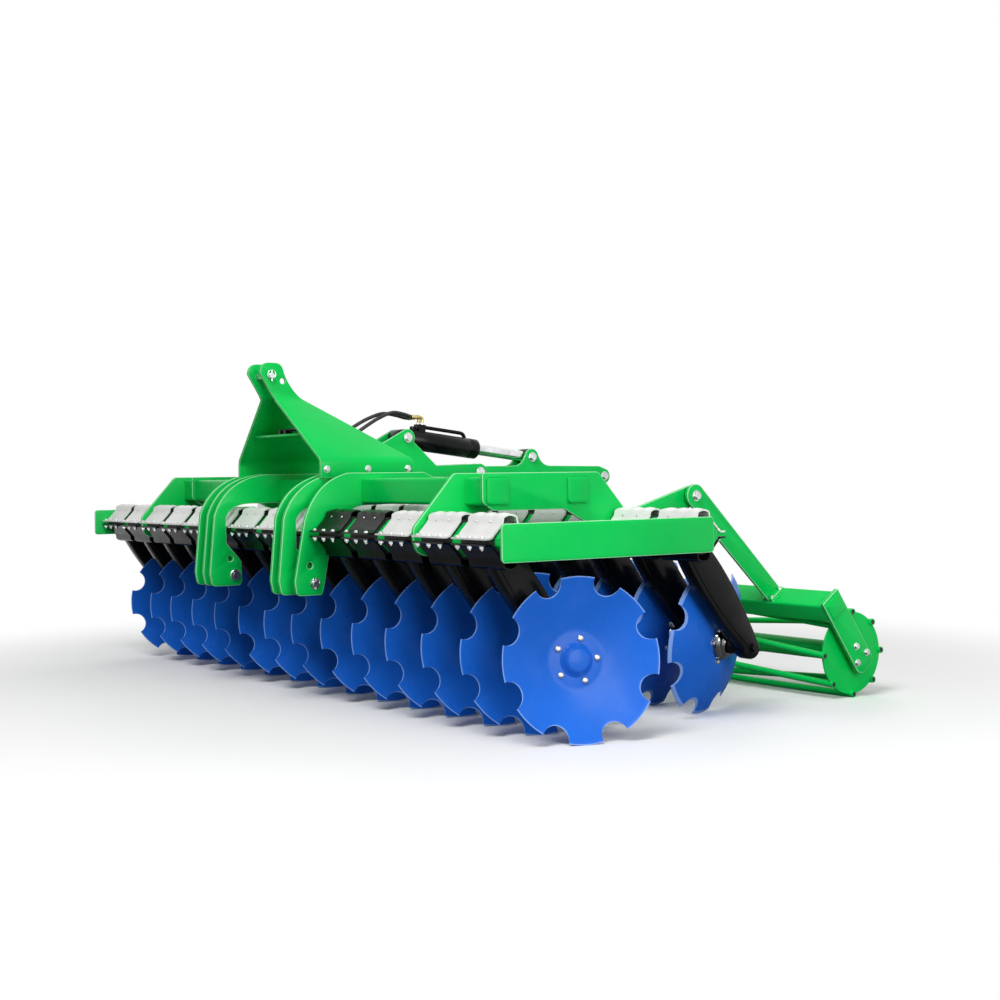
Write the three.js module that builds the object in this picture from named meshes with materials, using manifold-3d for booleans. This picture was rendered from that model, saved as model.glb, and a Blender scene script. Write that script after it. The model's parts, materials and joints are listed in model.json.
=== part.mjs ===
// Mounted compact disc harrow: two rows of notched discs, each disc on its own arm, and a cage
// roller behind them that sets the working depth.
// Millimetres. +X is the machine's left, +Y is its rear, +Z is up. The group is placed so that
// the origin is on the ground under the middle of the machine's bounding box.
// While it is built, Y = 0 is the line through the front discs' centres and Z = 0 is the ground.

import * as THREE from 'three';
import { mergeVertices } from 'three/addons/utils/BufferGeometryUtils.js';
import Module from 'manifold-3d';

const wasm = await Module();
wasm.setup();

// ---------------------------------------------------------------- driving dimensions

const SEAT_GAP = 0.3;              // left between welded or bolted neighbours
const PIVOT_GAP = 0.3;             // between a pivoting eye and its pin or cheek

const GROUND_Z = 25;               // the ground's height in this drawing

const DISC_DIAMETER = 560;
const DISC_THICKNESS = 6;
const DISC_DISH = 60;              // depth of the dished rim below the flat centre
const DISC_FLAT_RADIUS = 100;
const DISC_NOTCHES = 8;
const NOTCH_DEPTH = 48;
const NOTCH_SHARE = 0.19;          // half a notch's width, as a share of the pitch
const DISC_SPACING = 250;
const DISCS_PER_ROW = 14;
const FRONT_DISC_ANGLE = 18;       // degrees off the direction of travel
const REAR_DISC_ANGLE = 18;
const DISC_TILT = 7;               // degrees that the hub side leans down
const ROW_SPACING = 740;

const HUB_RADIUS = 45;
const HUB_LENGTH = 40;
const HUB_CAP_RADIUS = 50;
const HUB_CAP_HEIGHT = 22;

const BEAM_SIDE = 100;             // gang beams: square tubes standing on one corner
const BEAM_CORNER = 12;
const BEAM_HEIGHT = 705;           // of the beam's centre
const BEAM_LEAD = 265;             // from a beam forward of its own row of discs
const BEAM_HALF_LENGTH = 1797;

const CLAMP_WIDTH = 200;
const CLAMP_REACH = 95;            // from the beam's centre to the clamp's corners
const CLAMP_CORNER = 26;
const CLAMP_FLANGE_REACH = 102;
const CLAMP_FLANGE_HEIGHT = 26;    // both flanges and the slit between them

const ARM_WIDTH = 70;
const ARM_OFFSET = 100;            // from a disc's centre to the middle of its arm, across
const ARM_END_RADIUS = 42;
const BOSS_RADIUS = 34;

const TUBE_SIDE = 100;             // cross tubes
const TUBE_WALL = 8;
const TUBE_HEIGHT = 867;           // of the tube's centre
const TUBE_SPACING = 360;
const TUBE_STICK_OUT = 10;         // past the outer carrier plates

const CARRIER_THICKNESS = 14;
const CARRIER_TOP = 932;
const CARRIER_BOTTOM = 797;

const HITCH_THICKNESS = 16;
const HITCH_OUTER_X = 437.5;       // middle of the outer hitch plate
const HITCH_SLOT = 63;             // for the lower link's ball
const HITCH_INNER_SLOT = 54;       // between the middle and the inner plate
const HITCH_TOP = 940;
const LOWER_PIN_Y = -337;
const LOWER_PIN_Z = 508;
const LOWER_PIN_RADIUS = 14;

const TOWER_SHEET = 12;
const TOWER_EAR_GAP = 100;         // between the two mast ears
const TOWER_NECK_Z = 1250;
const TOWER_FOOT_Z = 990;
const TOWER_TOP_Z = 1400;
const TOP_PIN_Y = -328;
const TOP_PIN_Z = 1345;
const TOP_PIN_RADIUS = 12.5;
const TOWER_BAR_Z = 1100;
const TOWER_BAR_THICKNESS = 10;

const CENTRE_PLATE_THICKNESS = 12;
const CENTRE_PLATE_SLOT = 100;     // between the two centre bracket plates
const BASE_PIN_Y = 332;            // cylinder's fixed end
const BASE_PIN_Z = 1093;
const ROCKER_PIN_Y = 714;
const ROCKER_PIN_Z = 940;
const ROD_PIN_Y = 1020;
const ROD_PIN_Z = 1007;
const STRUT_TOP_Y = 1451;
const STRUT_TOP_Z = 914;
const BIG_PIN_RADIUS = 18;

const ROCKER_THICKNESS = 12;
const ROCKER_SLOT = 66;            // between the two rocker plates
const ROCKER_DEPTH = 80;

const BARREL_RADIUS = 45;
const BARREL_LENGTH = 402;         // from the base pin to the gland's end
const ROD_RADIUS = 25;
const EYE_RADIUS = 38;
const EYE_PLAY = 3;                // room for the rod's eye and strut's eye to drift on their pins

const ARM_PIVOT_Y = 860;           // roller arms
const ARM_PIVOT_Z = 834;
const ARM_PIN_RADIUS = 16;
const ROLLER_ARM_THICKNESS = 14;
const ROLLER_ARM_HALF_WIDTH = 45;
const ROLLER_FRAME_ANGLE = 35;     // degrees: lean of the roller beam and its end plates

const ROLLER_RADIUS = 176;
const ROLLER_BAR_RADIUS = 13;
const ROLLER_BARS = 8;
const ROLLER_TWIST = 90;           // degrees each bar winds round from end to end
const ROLLER_HALF_LENGTH = 1600;
const ROLLER_DISC_THICKNESS = 8;
const ROLLER_DISCS = 5;
const ROLLER_TUBE_RADIUS = 38;
const ROLLER_STUB_RADIUS = 25;
const ROLLER_STUB_SIDES = 16;
const ROLLER_AXIS_Y = 1445;
const ROLLER_PLATE_X = 1617;       // inner face of an end plate
const ROLLER_PLATE_THICKNESS = 16;
const ROLLER_PLATE_WIDTH = 102;
const ROLLER_PLATE_ABOVE = 287;    // from the roller's axis up the plate to its top
const ROLLER_PLATE_BELOW = 73;
const ROLLER_BEAM_WIDTH = 100;
const ROLLER_BEAM_DEPTH = 80;
const STRUT_FOOT_Y = 1330;
const STRUT_FOOT_Z = 500;
const STRUT_RADIUS = 22;

const GUARD_THICKNESS = 10;
const GUARD_FRONT = 137;           // ahead of the front beam's centre
const GUARD_REAR = 30;             // behind the rear beam's centre
const GUARD_BOTTOM = 645;
const GUARD_TOP = 770;

const HOSE_RADIUS = 8;
const COUPLER_RADIUS = 13;         // each hose starts at a coupler lying on the headstock bar
const COUPLER_LENGTH = 90;
const COUPLER_X = 24;              // each coupler from the middle plane
const PORT_DISTANCE = 95;          // from the base pin along the barrel to the port block
const PORT_HEIGHT = 112;           // of the fittings above the barrel's centre line
const PORT_X = 15;                 // each fitting from the middle plane

// ---------------------------------------------------------------- places worked out from them

const discRadius = DISC_DIAMETER / 2;
const discCentreZ = GROUND_Z + discRadius * Math.cos(radians(DISC_TILT))
  - (DISC_DISH - DISC_THICKNESS / 2) * Math.sin(radians(DISC_TILT));
const frontBeamY = -BEAM_LEAD;
const rearBeamY = ROW_SPACING - BEAM_LEAD;
const frameMiddleY = (frontBeamY + rearBeamY) / 2;
const beamReach = (rearBeamY - frontBeamY) / 2;
const frontTubeY = frameMiddleY - TUBE_SPACING / 2;
const rearTubeY = frameMiddleY + TUBE_SPACING / 2;
const tubeTop = TUBE_HEIGHT + TUBE_SIDE / 2;
const frontArmX = ((DISCS_PER_ROW - 1) * DISC_SPACING) / 2 - DISC_SPACING / 4;
const rearArmX = frontArmX + DISC_SPACING / 2;
// Carrier plates pass between the clamps: a front leg halfway between two front clamps, and a
// rear leg halfway between two rear ones. The rows are staggered, so the two sides swap over.
const outerCarrierX = rearArmX - 1.5 * DISC_SPACING;
const innerCarrierX = frontArmX - 1.5 * DISC_SPACING;
const hitchMiddleX = HITCH_OUTER_X - HITCH_THICKNESS - HITCH_SLOT;
const hitchInnerX = hitchMiddleX - HITCH_THICKNESS - HITCH_INNER_SLOT;
const towerFootX = hitchMiddleX + HITCH_THICKNESS / 2 + SEAT_GAP;
const rollerAxisZ = GROUND_Z + ROLLER_RADIUS;
const rollerPlateRise = radians(ROLLER_FRAME_ANGLE);

// ---------------------------------------------------------------- materials

function paint(color, roughness, metalness) {
  return new THREE.MeshStandardMaterial({ color, roughness, metalness });
}

const greenPaint = paint(0x14c44e, 0.35, 0);
const bluePaint = paint(0x2458b8, 0.4, 0);
const blackPaint = paint(0x111214, 0.3, 0);
const zinc = paint(0xb9bcc0, 0.35, 0.9);
const chrome = paint(0xdfe3e6, 0.12, 1);
const rubber = paint(0x17181a, 0.7, 0);

// ---------------------------------------------------------------- solids

function radians(degrees) {
  return (degrees * Math.PI) / 180;
}

function solid(geometry) {
  const bare = geometry.clone();
  bare.deleteAttribute('normal');
  bare.deleteAttribute('uv');
  const merged = mergeVertices(bare, 1e-4);
  return new wasm.Manifold(new wasm.Mesh({
    numProp: 3,
    vertProperties: new Float32Array(merged.attributes.position.array),
    triVerts: new Uint32Array(merged.index.array),
  }));
}

function unite(...solids) {
  return solids.flat().reduce((whole, piece) => whole.add(piece));
}

function cut(body, ...tools) {
  return tools.flat().reduce((whole, tool) => whole.subtract(tool), body);
}

function geometryOf(body) {
  const mesh = body.getMesh();
  const geometry = new THREE.BufferGeometry();
  geometry.setAttribute('position', new THREE.BufferAttribute(new Float32Array(mesh.vertProperties), 3));
  geometry.setIndex(new THREE.BufferAttribute(new Uint32Array(mesh.triVerts), 1));
  geometry.computeVertexNormals();
  return geometry;
}

// A block from its lowest to its highest corner.
function block(low, high) {
  const size = high.map((value, axis) => value - low[axis]);
  const geometry = new THREE.BoxGeometry(...size);
  geometry.translate(...low.map((value, axis) => value + size[axis] / 2));
  return solid(geometry);
}

const alongX = new THREE.Matrix4().makeBasis(
  new THREE.Vector3(0, 1, 0), new THREE.Vector3(0, 0, 1), new THREE.Vector3(1, 0, 0));
const alongY = new THREE.Matrix4().makeBasis(
  new THREE.Vector3(0, 0, 1), new THREE.Vector3(1, 0, 0), new THREE.Vector3(0, 1, 0));

// A plate whose outline is drawn in side view, as [y, z], from one X to another.
function sidePlate(outline, fromX, toX, curveSegments = 4) {
  const shape = outline instanceof THREE.Shape
    ? outline : new THREE.Shape(outline.map(([y, z]) => new THREE.Vector2(y, z)));
  const geometry = new THREE.ExtrudeGeometry(shape, { depth: toX - fromX, bevelEnabled: false, curveSegments });
  geometry.applyMatrix4(alongX);
  geometry.translate(fromX, 0, 0);
  return solid(geometry);
}

// A sheet whose edge is drawn in front view, as [z, x], from one Y to another.
function frontSheet(outline, fromY, toY) {
  const shape = new THREE.Shape(outline.map(([x, z]) => new THREE.Vector2(z, x)));
  const geometry = new THREE.ExtrudeGeometry(shape, { depth: toY - fromY, bevelEnabled: false });
  geometry.applyMatrix4(alongY);
  geometry.translate(0, fromY, 0);
  return solid(geometry);
}

// A round bar across the machine.
function crossPin(radius, y, z, fromX, toX, sides = 12) {
  const geometry = new THREE.CylinderGeometry(radius, radius, toX - fromX, sides);
  geometry.rotateZ(-Math.PI / 2);
  geometry.translate((fromX + toX) / 2, y, z);
  return solid(geometry);
}

// A hole for such a bar, wide enough for the bar to turn in whatever corner it points.
function crossHole(radius, y, z, fromX, toX, sides = 12) {
  return crossPin(radius / Math.cos(Math.PI / sides), y, z, fromX, toX, sides);
}

// A round bar between two points.
function bar(radius, from, to, sides = 16) {
  const start = new THREE.Vector3(...from);
  const run = new THREE.Vector3(...to).sub(start);
  const geometry = new THREE.CylinderGeometry(radius, radius, run.length(), sides);
  geometry.translate(0, run.length() / 2, 0);
  geometry.applyQuaternion(new THREE.Quaternion().setFromUnitVectors(
    new THREE.Vector3(0, 1, 0), run.clone().normalize()));
  geometry.translate(start.x, start.y, start.z);
  return solid(geometry);
}

// Side-view outline of a square section standing on one corner, its four corners cut off.
function diamond(y, z, reach, corner) {
  const inset = reach - corner;
  const quarter = [[inset, -corner], [inset, corner]];
  const turns = [[1, 0], [0, 1], [-1, 0], [0, -1]];
  return turns.flatMap(([cos, sin]) => quarter.map(
    ([over, up]) => [y + over * cos - up * sin, z + over * sin + up * cos]));
}

const beamReachToCorner = BEAM_SIDE / Math.SQRT2;

// Room for a gang beam to pass through a plate.
function beamPassage(beamY) {
  const reach = beamReachToCorner + SEAT_GAP * Math.SQRT2;
  return sidePlate(diamond(beamY, BEAM_HEIGHT, reach, BEAM_CORNER), -BEAM_HALF_LENGTH, BEAM_HALF_LENGTH);
}

// Room for a cross tube to pass through a plate.
function tubePassage(tubeY) {
  const half = TUBE_SIDE / 2 + SEAT_GAP;
  return block([-BEAM_HALF_LENGTH, tubeY - half, TUBE_HEIGHT - half],
    [BEAM_HALF_LENGTH, tubeY + half, TUBE_HEIGHT + half]);
}

// ---------------------------------------------------------------- discs

// Where one disc sits: its centre, and the direction from its centre towards its hub and arm.
function discPlace(row, index) {
  const front = row === 'front';
  const side = front ? -1 : 1;
  const angle = radians(front ? FRONT_DISC_ANGLE : REAR_DISC_ANGLE);
  const tilt = radians(DISC_TILT);
  const armX = (front ? frontArmX : rearArmX) - index * DISC_SPACING;
  const axis = new THREE.Vector3(
    side * Math.cos(angle) * Math.cos(tilt), Math.sin(angle) * Math.cos(tilt), -Math.sin(tilt));
  const centre = new THREE.Vector3(armX - side * ARM_OFFSET, front ? 0 : ROW_SPACING, discCentreZ);
  const hubAtArm = centre.clone().addScaledVector(axis, ARM_OFFSET / Math.abs(axis.x));
  return { armX, axis, centre, hubAtArm };
}

// One face of a disc as rings of points: an eight-cornered flat centre, then the rim, which has
// a lobe of three points and a notch of one for each corner of the flat.
function discFacePoints(face) {
  const pitch = (2 * Math.PI) / DISC_NOTCHES;
  const lobeHalf = pitch / 2 - NOTCH_SHARE * pitch;
  const flat = [];
  const rim = [];
  const point = (radius, angle, height) => [radius * Math.cos(angle), radius * Math.sin(angle), height];
  const dishAt = (radius) => (-DISC_DISH * (radius - DISC_FLAT_RADIUS)) / (discRadius - DISC_FLAT_RADIUS);
  for (let lobe = 0; lobe < DISC_NOTCHES; lobe += 1) {
    const middle = lobe * pitch;
    flat.push(point(DISC_FLAT_RADIUS, middle, face));
    for (const step of [-1, 0, 1]) {
      rim.push(point(discRadius, middle + step * lobeHalf, dishAt(discRadius) + face));
    }
    const notch = discRadius - NOTCH_DEPTH;
    rim.push(point(notch, middle + pitch / 2, dishAt(notch) + face));
  }
  return [[0, 0, face], ...flat, ...rim];
}

// A dished disc with its hub, its flat centre at the origin and its hub along +Z.
function discSolid() {
  const faces = [discFacePoints(DISC_THICKNESS / 2), discFacePoints(-DISC_THICKNESS / 2)];
  const perFace = faces[0].length;
  const rimCount = DISC_NOTCHES * 4;
  const flatAt = (face, lobe) => face * perFace + 1 + (lobe % DISC_NOTCHES);
  const rimAt = (face, step) => face * perFace + 1 + DISC_NOTCHES + (step % rimCount);
  const triangles = [];
  const add = (face, a, b, c) => triangles.push(...(face === 0 ? [a, b, c] : [a, c, b]));
  for (const face of [0, 1]) {
    for (let lobe = 0; lobe < DISC_NOTCHES; lobe += 1) {
      const inner = flatAt(face, lobe);
      const next = flatAt(face, lobe + 1);
      const first = lobe * 4;
      add(face, face * perFace, inner, next);
      add(face, inner, rimAt(face, first), rimAt(face, first + 1));
      add(face, inner, rimAt(face, first + 1), rimAt(face, first + 2));
      add(face, inner, rimAt(face, first + 2), rimAt(face, first + 3));
      add(face, inner, rimAt(face, first + 3), next);
      add(face, next, rimAt(face, first + 3), rimAt(face, first + 4));
    }
  }
  for (let step = 0; step < rimCount; step += 1) {
    triangles.push(rimAt(0, step), rimAt(1, step), rimAt(1, step + 1));
    triangles.push(rimAt(0, step), rimAt(1, step + 1), rimAt(0, step + 1));
  }
  const geometry = new THREE.BufferGeometry();
  geometry.setAttribute('position', new THREE.BufferAttribute(new Float32Array(faces.flat(2)), 3));
  geometry.setIndex(triangles);
  const hub = new THREE.CylinderGeometry(HUB_RADIUS, HUB_RADIUS, HUB_LENGTH, 10);
  hub.rotateX(Math.PI / 2);
  hub.translate(0, 0, HUB_LENGTH / 2);
  const cap = new THREE.CylinderGeometry(HUB_CAP_RADIUS, HUB_CAP_RADIUS * 0.7, HUB_CAP_HEIGHT, 10);
  cap.rotateX(Math.PI / 2);
  cap.translate(0, 0, -HUB_CAP_HEIGHT / 2);
  return unite(solid(geometry), solid(hub), solid(cap));
}

// ---------------------------------------------------------------- gangs

// One arm in side view: it leaves the clamp's underside and trails down to the disc's hub.
function armOutline(beamY, hubY, hubZ) {
  const shape = new THREE.Shape();
  const shoulder = BEAM_HEIGHT - CLAMP_REACH * 0.3;
  shape.moveTo(beamY + CLAMP_REACH * 0.8, shoulder);
  shape.lineTo(beamY - CLAMP_REACH * 0.5, shoulder);
  shape.quadraticCurveTo(beamY + 45, BEAM_HEIGHT - 225, hubY - ARM_END_RADIUS, hubZ);
  shape.absarc(hubY, hubZ, ARM_END_RADIUS, Math.PI, 2 * Math.PI, false);
  shape.quadraticCurveTo(beamY + 215, BEAM_HEIGHT - 165, beamY + CLAMP_REACH * 0.8, shoulder);
  return shape;
}

// Everything that one gang beam carries, welded or clamped into one: the beam, a clamp on each
// station, and from each clamp an arm with the boss that its disc's hub turns on.
function gangSolid(row) {
  const beamY = row === 'front' ? frontBeamY : rearBeamY;
  const beam = sidePlate(diamond(beamY, BEAM_HEIGHT, beamReachToCorner, BEAM_CORNER),
    -BEAM_HALF_LENGTH, BEAM_HALF_LENGTH);
  const stations = [];
  for (let index = 0; index < DISCS_PER_ROW; index += 1) {
    const { armX, axis, centre, hubAtArm } = discPlace(row, index);
    const clampFrom = armX - CLAMP_WIDTH / 2;
    const clampTo = armX + CLAMP_WIDTH / 2;
    const housing = sidePlate(diamond(beamY, BEAM_HEIGHT, CLAMP_REACH, CLAMP_CORNER), clampFrom, clampTo);
    const flanges = block(
      [clampFrom, beamY - CLAMP_FLANGE_REACH, BEAM_HEIGHT - CLAMP_FLANGE_HEIGHT / 2],
      [clampTo, beamY + CLAMP_FLANGE_REACH, BEAM_HEIGHT + CLAMP_FLANGE_HEIGHT / 2]);
    const arm = sidePlate(armOutline(beamY, hubAtArm.y, hubAtArm.z), armX - ARM_WIDTH / 2, armX + ARM_WIDTH / 2, 3);
    const bossStart = centre.clone().addScaledVector(axis, HUB_LENGTH + PIVOT_GAP);
    const boss = bar(BOSS_RADIUS, bossStart.toArray(), hubAtArm.toArray(), 8);
    stations.push(unite(housing, flanges, arm, boss));
  }
  return unite(beam, stations);
}

// ---------------------------------------------------------------- main frame

function crossTube(tubeY) {
  const half = TUBE_SIDE / 2;
  const end = outerCarrierX + CARRIER_THICKNESS / 2 + TUBE_STICK_OUT;
  const wall = half - TUBE_WALL;
  return cut(
    block([-end, tubeY - half, TUBE_HEIGHT - half], [end, tubeY + half, TUBE_HEIGHT + half]),
    block([-end - 1, tubeY - wall, TUBE_HEIGHT - wall], [end + 1, tubeY + wall, TUBE_HEIGHT + wall]));
}

// A carrier plate in side view. direction is -1 when its leg reaches the front beam, 1 the rear.
function carrierOutline(direction) {
  const tubeEnd = -TUBE_SPACING / 2 - TUBE_SIDE / 2 - 13;
  const legOuter = beamReach + beamReachToCorner + 11;
  const points = [
    [tubeEnd, CARRIER_TOP],
    [beamReach - 90, CARRIER_TOP],
    [legOuter, BEAM_HEIGHT + 37],
    [legOuter, BEAM_HEIGHT - 15],
    [legOuter - 14, BEAM_HEIGHT - 48],
    [legOuter - 42, BEAM_HEIGHT - 63],
    [beamReach + 4, BEAM_HEIGHT - 63],
    [beamReach, BEAM_HEIGHT],
    [beamReach - beamReachToCorner - 3, BEAM_HEIGHT + 1],
    [beamReach - 250, CARRIER_BOTTOM],
    [tubeEnd + 46, CARRIER_BOTTOM],
    [tubeEnd, CARRIER_BOTTOM + 30],
  ];
  const placed = points.map(([along, z]) => [frameMiddleY + direction * along, z]);
  return direction > 0 ? placed : placed.reverse();
}

// The rear carrier's bracket that the roller arm hangs from, in side view.
function rollerBracketOutline() {
  const reach = beamReachToCorner;
  const shape = new THREE.Shape();
  shape.moveTo(rearBeamY - 30, BEAM_HEIGHT + reach + 12);
  shape.lineTo(rearBeamY, BEAM_HEIGHT);
  shape.lineTo(rearBeamY + reach + 12, BEAM_HEIGHT - 30);
  shape.lineTo(ARM_PIVOT_Y + 20, ARM_PIVOT_Z - 36);
  shape.absarc(ARM_PIVOT_Y, ARM_PIVOT_Z, 40, -Math.PI / 3, Math.PI * 0.6, false);
  shape.lineTo(rearBeamY + 110, BEAM_HEIGHT + reach + 20);
  return shape;
}

function carrierSolid(direction, plateX, side) {
  const half = CARRIER_THICKNESS / 2;
  const passages = [tubePassage(frontTubeY), tubePassage(rearTubeY), beamPassage(frontBeamY), beamPassage(rearBeamY)];
  const plate = cut(sidePlate(carrierOutline(direction), plateX - half, plateX + half), passages);
  if (direction < 0) {
    return plate;
  }
  // The bracket is doubled on to the plate's inner face, and its pin reaches out through the arm.
  const inner = plateX - side * half;
  const bracketEdges = [inner, inner - side * CARRIER_THICKNESS].sort((a, b) => a - b);
  const pinEdges = [inner - side * CARRIER_THICKNESS, inner + side * (ROLLER_ARM_THICKNESS + 12)].sort((a, b) => a - b);
  const bracket = cut(sidePlate(rollerBracketOutline(), ...bracketEdges), passages);
  return unite(plate, bracket, crossPin(ARM_PIN_RADIUS, ARM_PIVOT_Y, ARM_PIVOT_Z, ...pinEdges));
}

// ---------------------------------------------------------------- three-point hitch

// The outline of a hitch plate in side view: over the front tube, then down to the lower pin.
// throughBeam is for the plate that stands between two clamps and lets the front beam through;
// the others stay ahead of the clamps.
function hitchOutline(throughBeam) {
  const clampFront = frontBeamY - CLAMP_FLANGE_REACH - 8;
  const clampTop = BEAM_HEIGHT + CLAMP_REACH + 14;
  const rear = rearTubeY - TUBE_SIDE / 2 - SEAT_GAP;
  const shape = new THREE.Shape();
  shape.moveTo(rear, CARRIER_BOTTOM + 20);
  shape.lineTo(rear, tubeTop - 4);
  shape.lineTo(rear - 62, HITCH_TOP);
  shape.lineTo(LOWER_PIN_Y + 152, HITCH_TOP);
  if (throughBeam) {
    shape.quadraticCurveTo(LOWER_PIN_Y + 10, HITCH_TOP - 30, LOWER_PIN_Y - 41, BEAM_HEIGHT + 54);
    shape.lineTo(LOWER_PIN_Y - 87, LOWER_PIN_Z + 9);
    shape.lineTo(LOWER_PIN_Y - 80, LOWER_PIN_Z - 38);
    shape.lineTo(LOWER_PIN_Y - 66, LOWER_PIN_Z - 46);
    shape.lineTo(LOWER_PIN_Y + 30, LOWER_PIN_Z - 46);
    shape.lineTo(LOWER_PIN_Y + 39, LOWER_PIN_Z - 25);
    shape.lineTo(LOWER_PIN_Y + 72, BEAM_HEIGHT - 48);
    shape.quadraticCurveTo(LOWER_PIN_Y + 120, BEAM_HEIGHT + 105, LOWER_PIN_Y + 242, CARRIER_BOTTOM + 13);
  } else {
    shape.quadraticCurveTo(LOWER_PIN_Y - 40, HITCH_TOP - 20, LOWER_PIN_Y - 92, BEAM_HEIGHT + 60);
    shape.lineTo(LOWER_PIN_Y - 115, LOWER_PIN_Z + 9);
    shape.lineTo(LOWER_PIN_Y - 106, LOWER_PIN_Z - 38);
    shape.lineTo(LOWER_PIN_Y - 92, LOWER_PIN_Z - 46);
    shape.lineTo(LOWER_PIN_Y + 24, LOWER_PIN_Z - 46);
    shape.lineTo(LOWER_PIN_Y + 34, LOWER_PIN_Z - 25);
    shape.lineTo(LOWER_PIN_Y + 30, LOWER_PIN_Z + 60);
    shape.lineTo(clampFront, BEAM_HEIGHT - 60);
    shape.lineTo(clampFront, BEAM_HEIGHT + 50);
    shape.quadraticCurveTo(clampFront + 20, clampTop, frontBeamY + 20, clampTop);
    shape.lineTo(LOWER_PIN_Y + 242, clampTop);
  }
  return shape;
}

function hitchPlate(middleX, throughBeam, pinRoom) {
  const half = HITCH_THICKNESS / 2;
  const plate = sidePlate(hitchOutline(throughBeam), middleX - half, middleX + half, 5);
  const holes = [tubePassage(frontTubeY)];
  holes.push(crossPin(13, LOWER_PIN_Y - 21, LOWER_PIN_Z + 71, middleX - HITCH_THICKNESS, middleX + HITCH_THICKNESS, 14));
  if (throughBeam) {
    holes.push(beamPassage(frontBeamY));
  }
  if (pinRoom) {
    holes.push(crossHole(LOWER_PIN_RADIUS + PIVOT_GAP, LOWER_PIN_Y, LOWER_PIN_Z,
      middleX - HITCH_THICKNESS, middleX + HITCH_THICKNESS, 16));
  }
  return cut(plate, holes);
}

// The middle and inner plates of one side with the lower link's pin through both.
function hitchForkSolid(side) {
  const half = HITCH_THICKNESS / 2;
  const pinEdges = [side * (hitchInnerX - half), side * (HITCH_OUTER_X + half + 14)].sort((a, b) => a - b);
  const spacerEdges = [side * hitchInnerX, side * hitchMiddleX].sort((a, b) => a - b);
  return unite(
    hitchPlate(side * hitchMiddleX, false, false),
    hitchPlate(side * hitchInnerX, false, false),
    crossPin(LOWER_PIN_RADIUS, LOWER_PIN_Y, LOWER_PIN_Z, ...pinEdges, 16),
    crossPin(18, LOWER_PIN_Y - 50, BEAM_HEIGHT + 10, ...spacerEdges, 12));
}

// One side of the headstock: mast ear, sloping panel and bolting flange, bent from one sheet.
function towerPanelSolid(side) {
  const earX = TOWER_EAR_GAP / 2;
  const slope = Math.hypot(towerFootX - earX, TOWER_NECK_Z - TOWER_FOOT_Z);
  const lift = (TOWER_SHEET * (slope - (TOWER_NECK_Z - TOWER_FOOT_Z))) / (towerFootX - earX);
  const flangeBottom = tubeTop + 3;
  const section = [
    [earX, TOWER_TOP_Z], [earX, TOWER_NECK_Z], [towerFootX, TOWER_FOOT_Z], [towerFootX, flangeBottom],
    [towerFootX + TOWER_SHEET, flangeBottom], [towerFootX + TOWER_SHEET, TOWER_FOOT_Z + lift],
    [earX + TOWER_SHEET, TOWER_NECK_Z + lift], [earX + TOWER_SHEET, TOWER_TOP_Z],
  ].map(([x, z]) => [side * x, z]);
  const silhouette = [
    [TOP_PIN_Y - 50, TOP_PIN_Z + 15], [TOP_PIN_Y - 38, TOWER_TOP_Z - 12], [TOP_PIN_Y - 14, TOWER_TOP_Z],
    [TOP_PIN_Y + 26, TOWER_TOP_Z], [TOP_PIN_Y + 52, TOWER_TOP_Z - 14], [TOP_PIN_Y + 136, TOWER_NECK_Z + 5],
    [rearTubeY - 135, TOWER_FOOT_Z + 12], [rearTubeY - 122, TOWER_FOOT_Z - 8], [rearTubeY - 122, flangeBottom - 1],
    [TOP_PIN_Y + 58, flangeBottom - 1], [TOP_PIN_Y + 58, TOWER_FOOT_Z], [TOP_PIN_Y + 16, TOWER_NECK_Z],
  ].reverse();
  const sheet = frontSheet(side > 0 ? section : section.reverse(), TOP_PIN_Y - 100, rearTubeY);
  const edges = [side * (earX - 1), side * (towerFootX + TOWER_SHEET + 1)].sort((a, b) => a - b);
  const body = sheet.intersect(sidePlate(silhouette, ...edges));
  const holeEdges = [side * (earX - 2), side * (earX + TOWER_SHEET + 2)].sort((a, b) => a - b);
  return cut(body,
    crossHole(TOP_PIN_RADIUS + SEAT_GAP, TOP_PIN_Y, TOP_PIN_Z, ...holeEdges, 16),
    crossPin(TOP_PIN_RADIUS, TOP_PIN_Y + 55, TOP_PIN_Z - 20, ...holeEdges, 16));
}

const couplerEndY = TOP_PIN_Y + 170;

// The bar between the headstock panels, with the two hose couplers that lie on it.
function towerBarSolid() {
  const top = TOWER_BAR_Z + TOWER_BAR_THICKNESS / 2;
  const earX = TOWER_EAR_GAP / 2;
  const across = ((TOWER_NECK_Z - top) * (towerFootX - earX)) / (TOWER_NECK_Z - TOWER_FOOT_Z);
  const end = earX + across - 2 * SEAT_GAP;
  const couplers = [-COUPLER_X, COUPLER_X].map((x) => bar(COUPLER_RADIUS,
    [x, couplerEndY - COUPLER_LENGTH, top + COUPLER_RADIUS - 2], [x, couplerEndY, top + COUPLER_RADIUS - 2], 10));
  return unite(block([-end, TOP_PIN_Y + 60, top - TOWER_BAR_THICKNESS], [end, couplerEndY, top]), couplers);
}

// ---------------------------------------------------------------- centre bracket and cylinder

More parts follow.
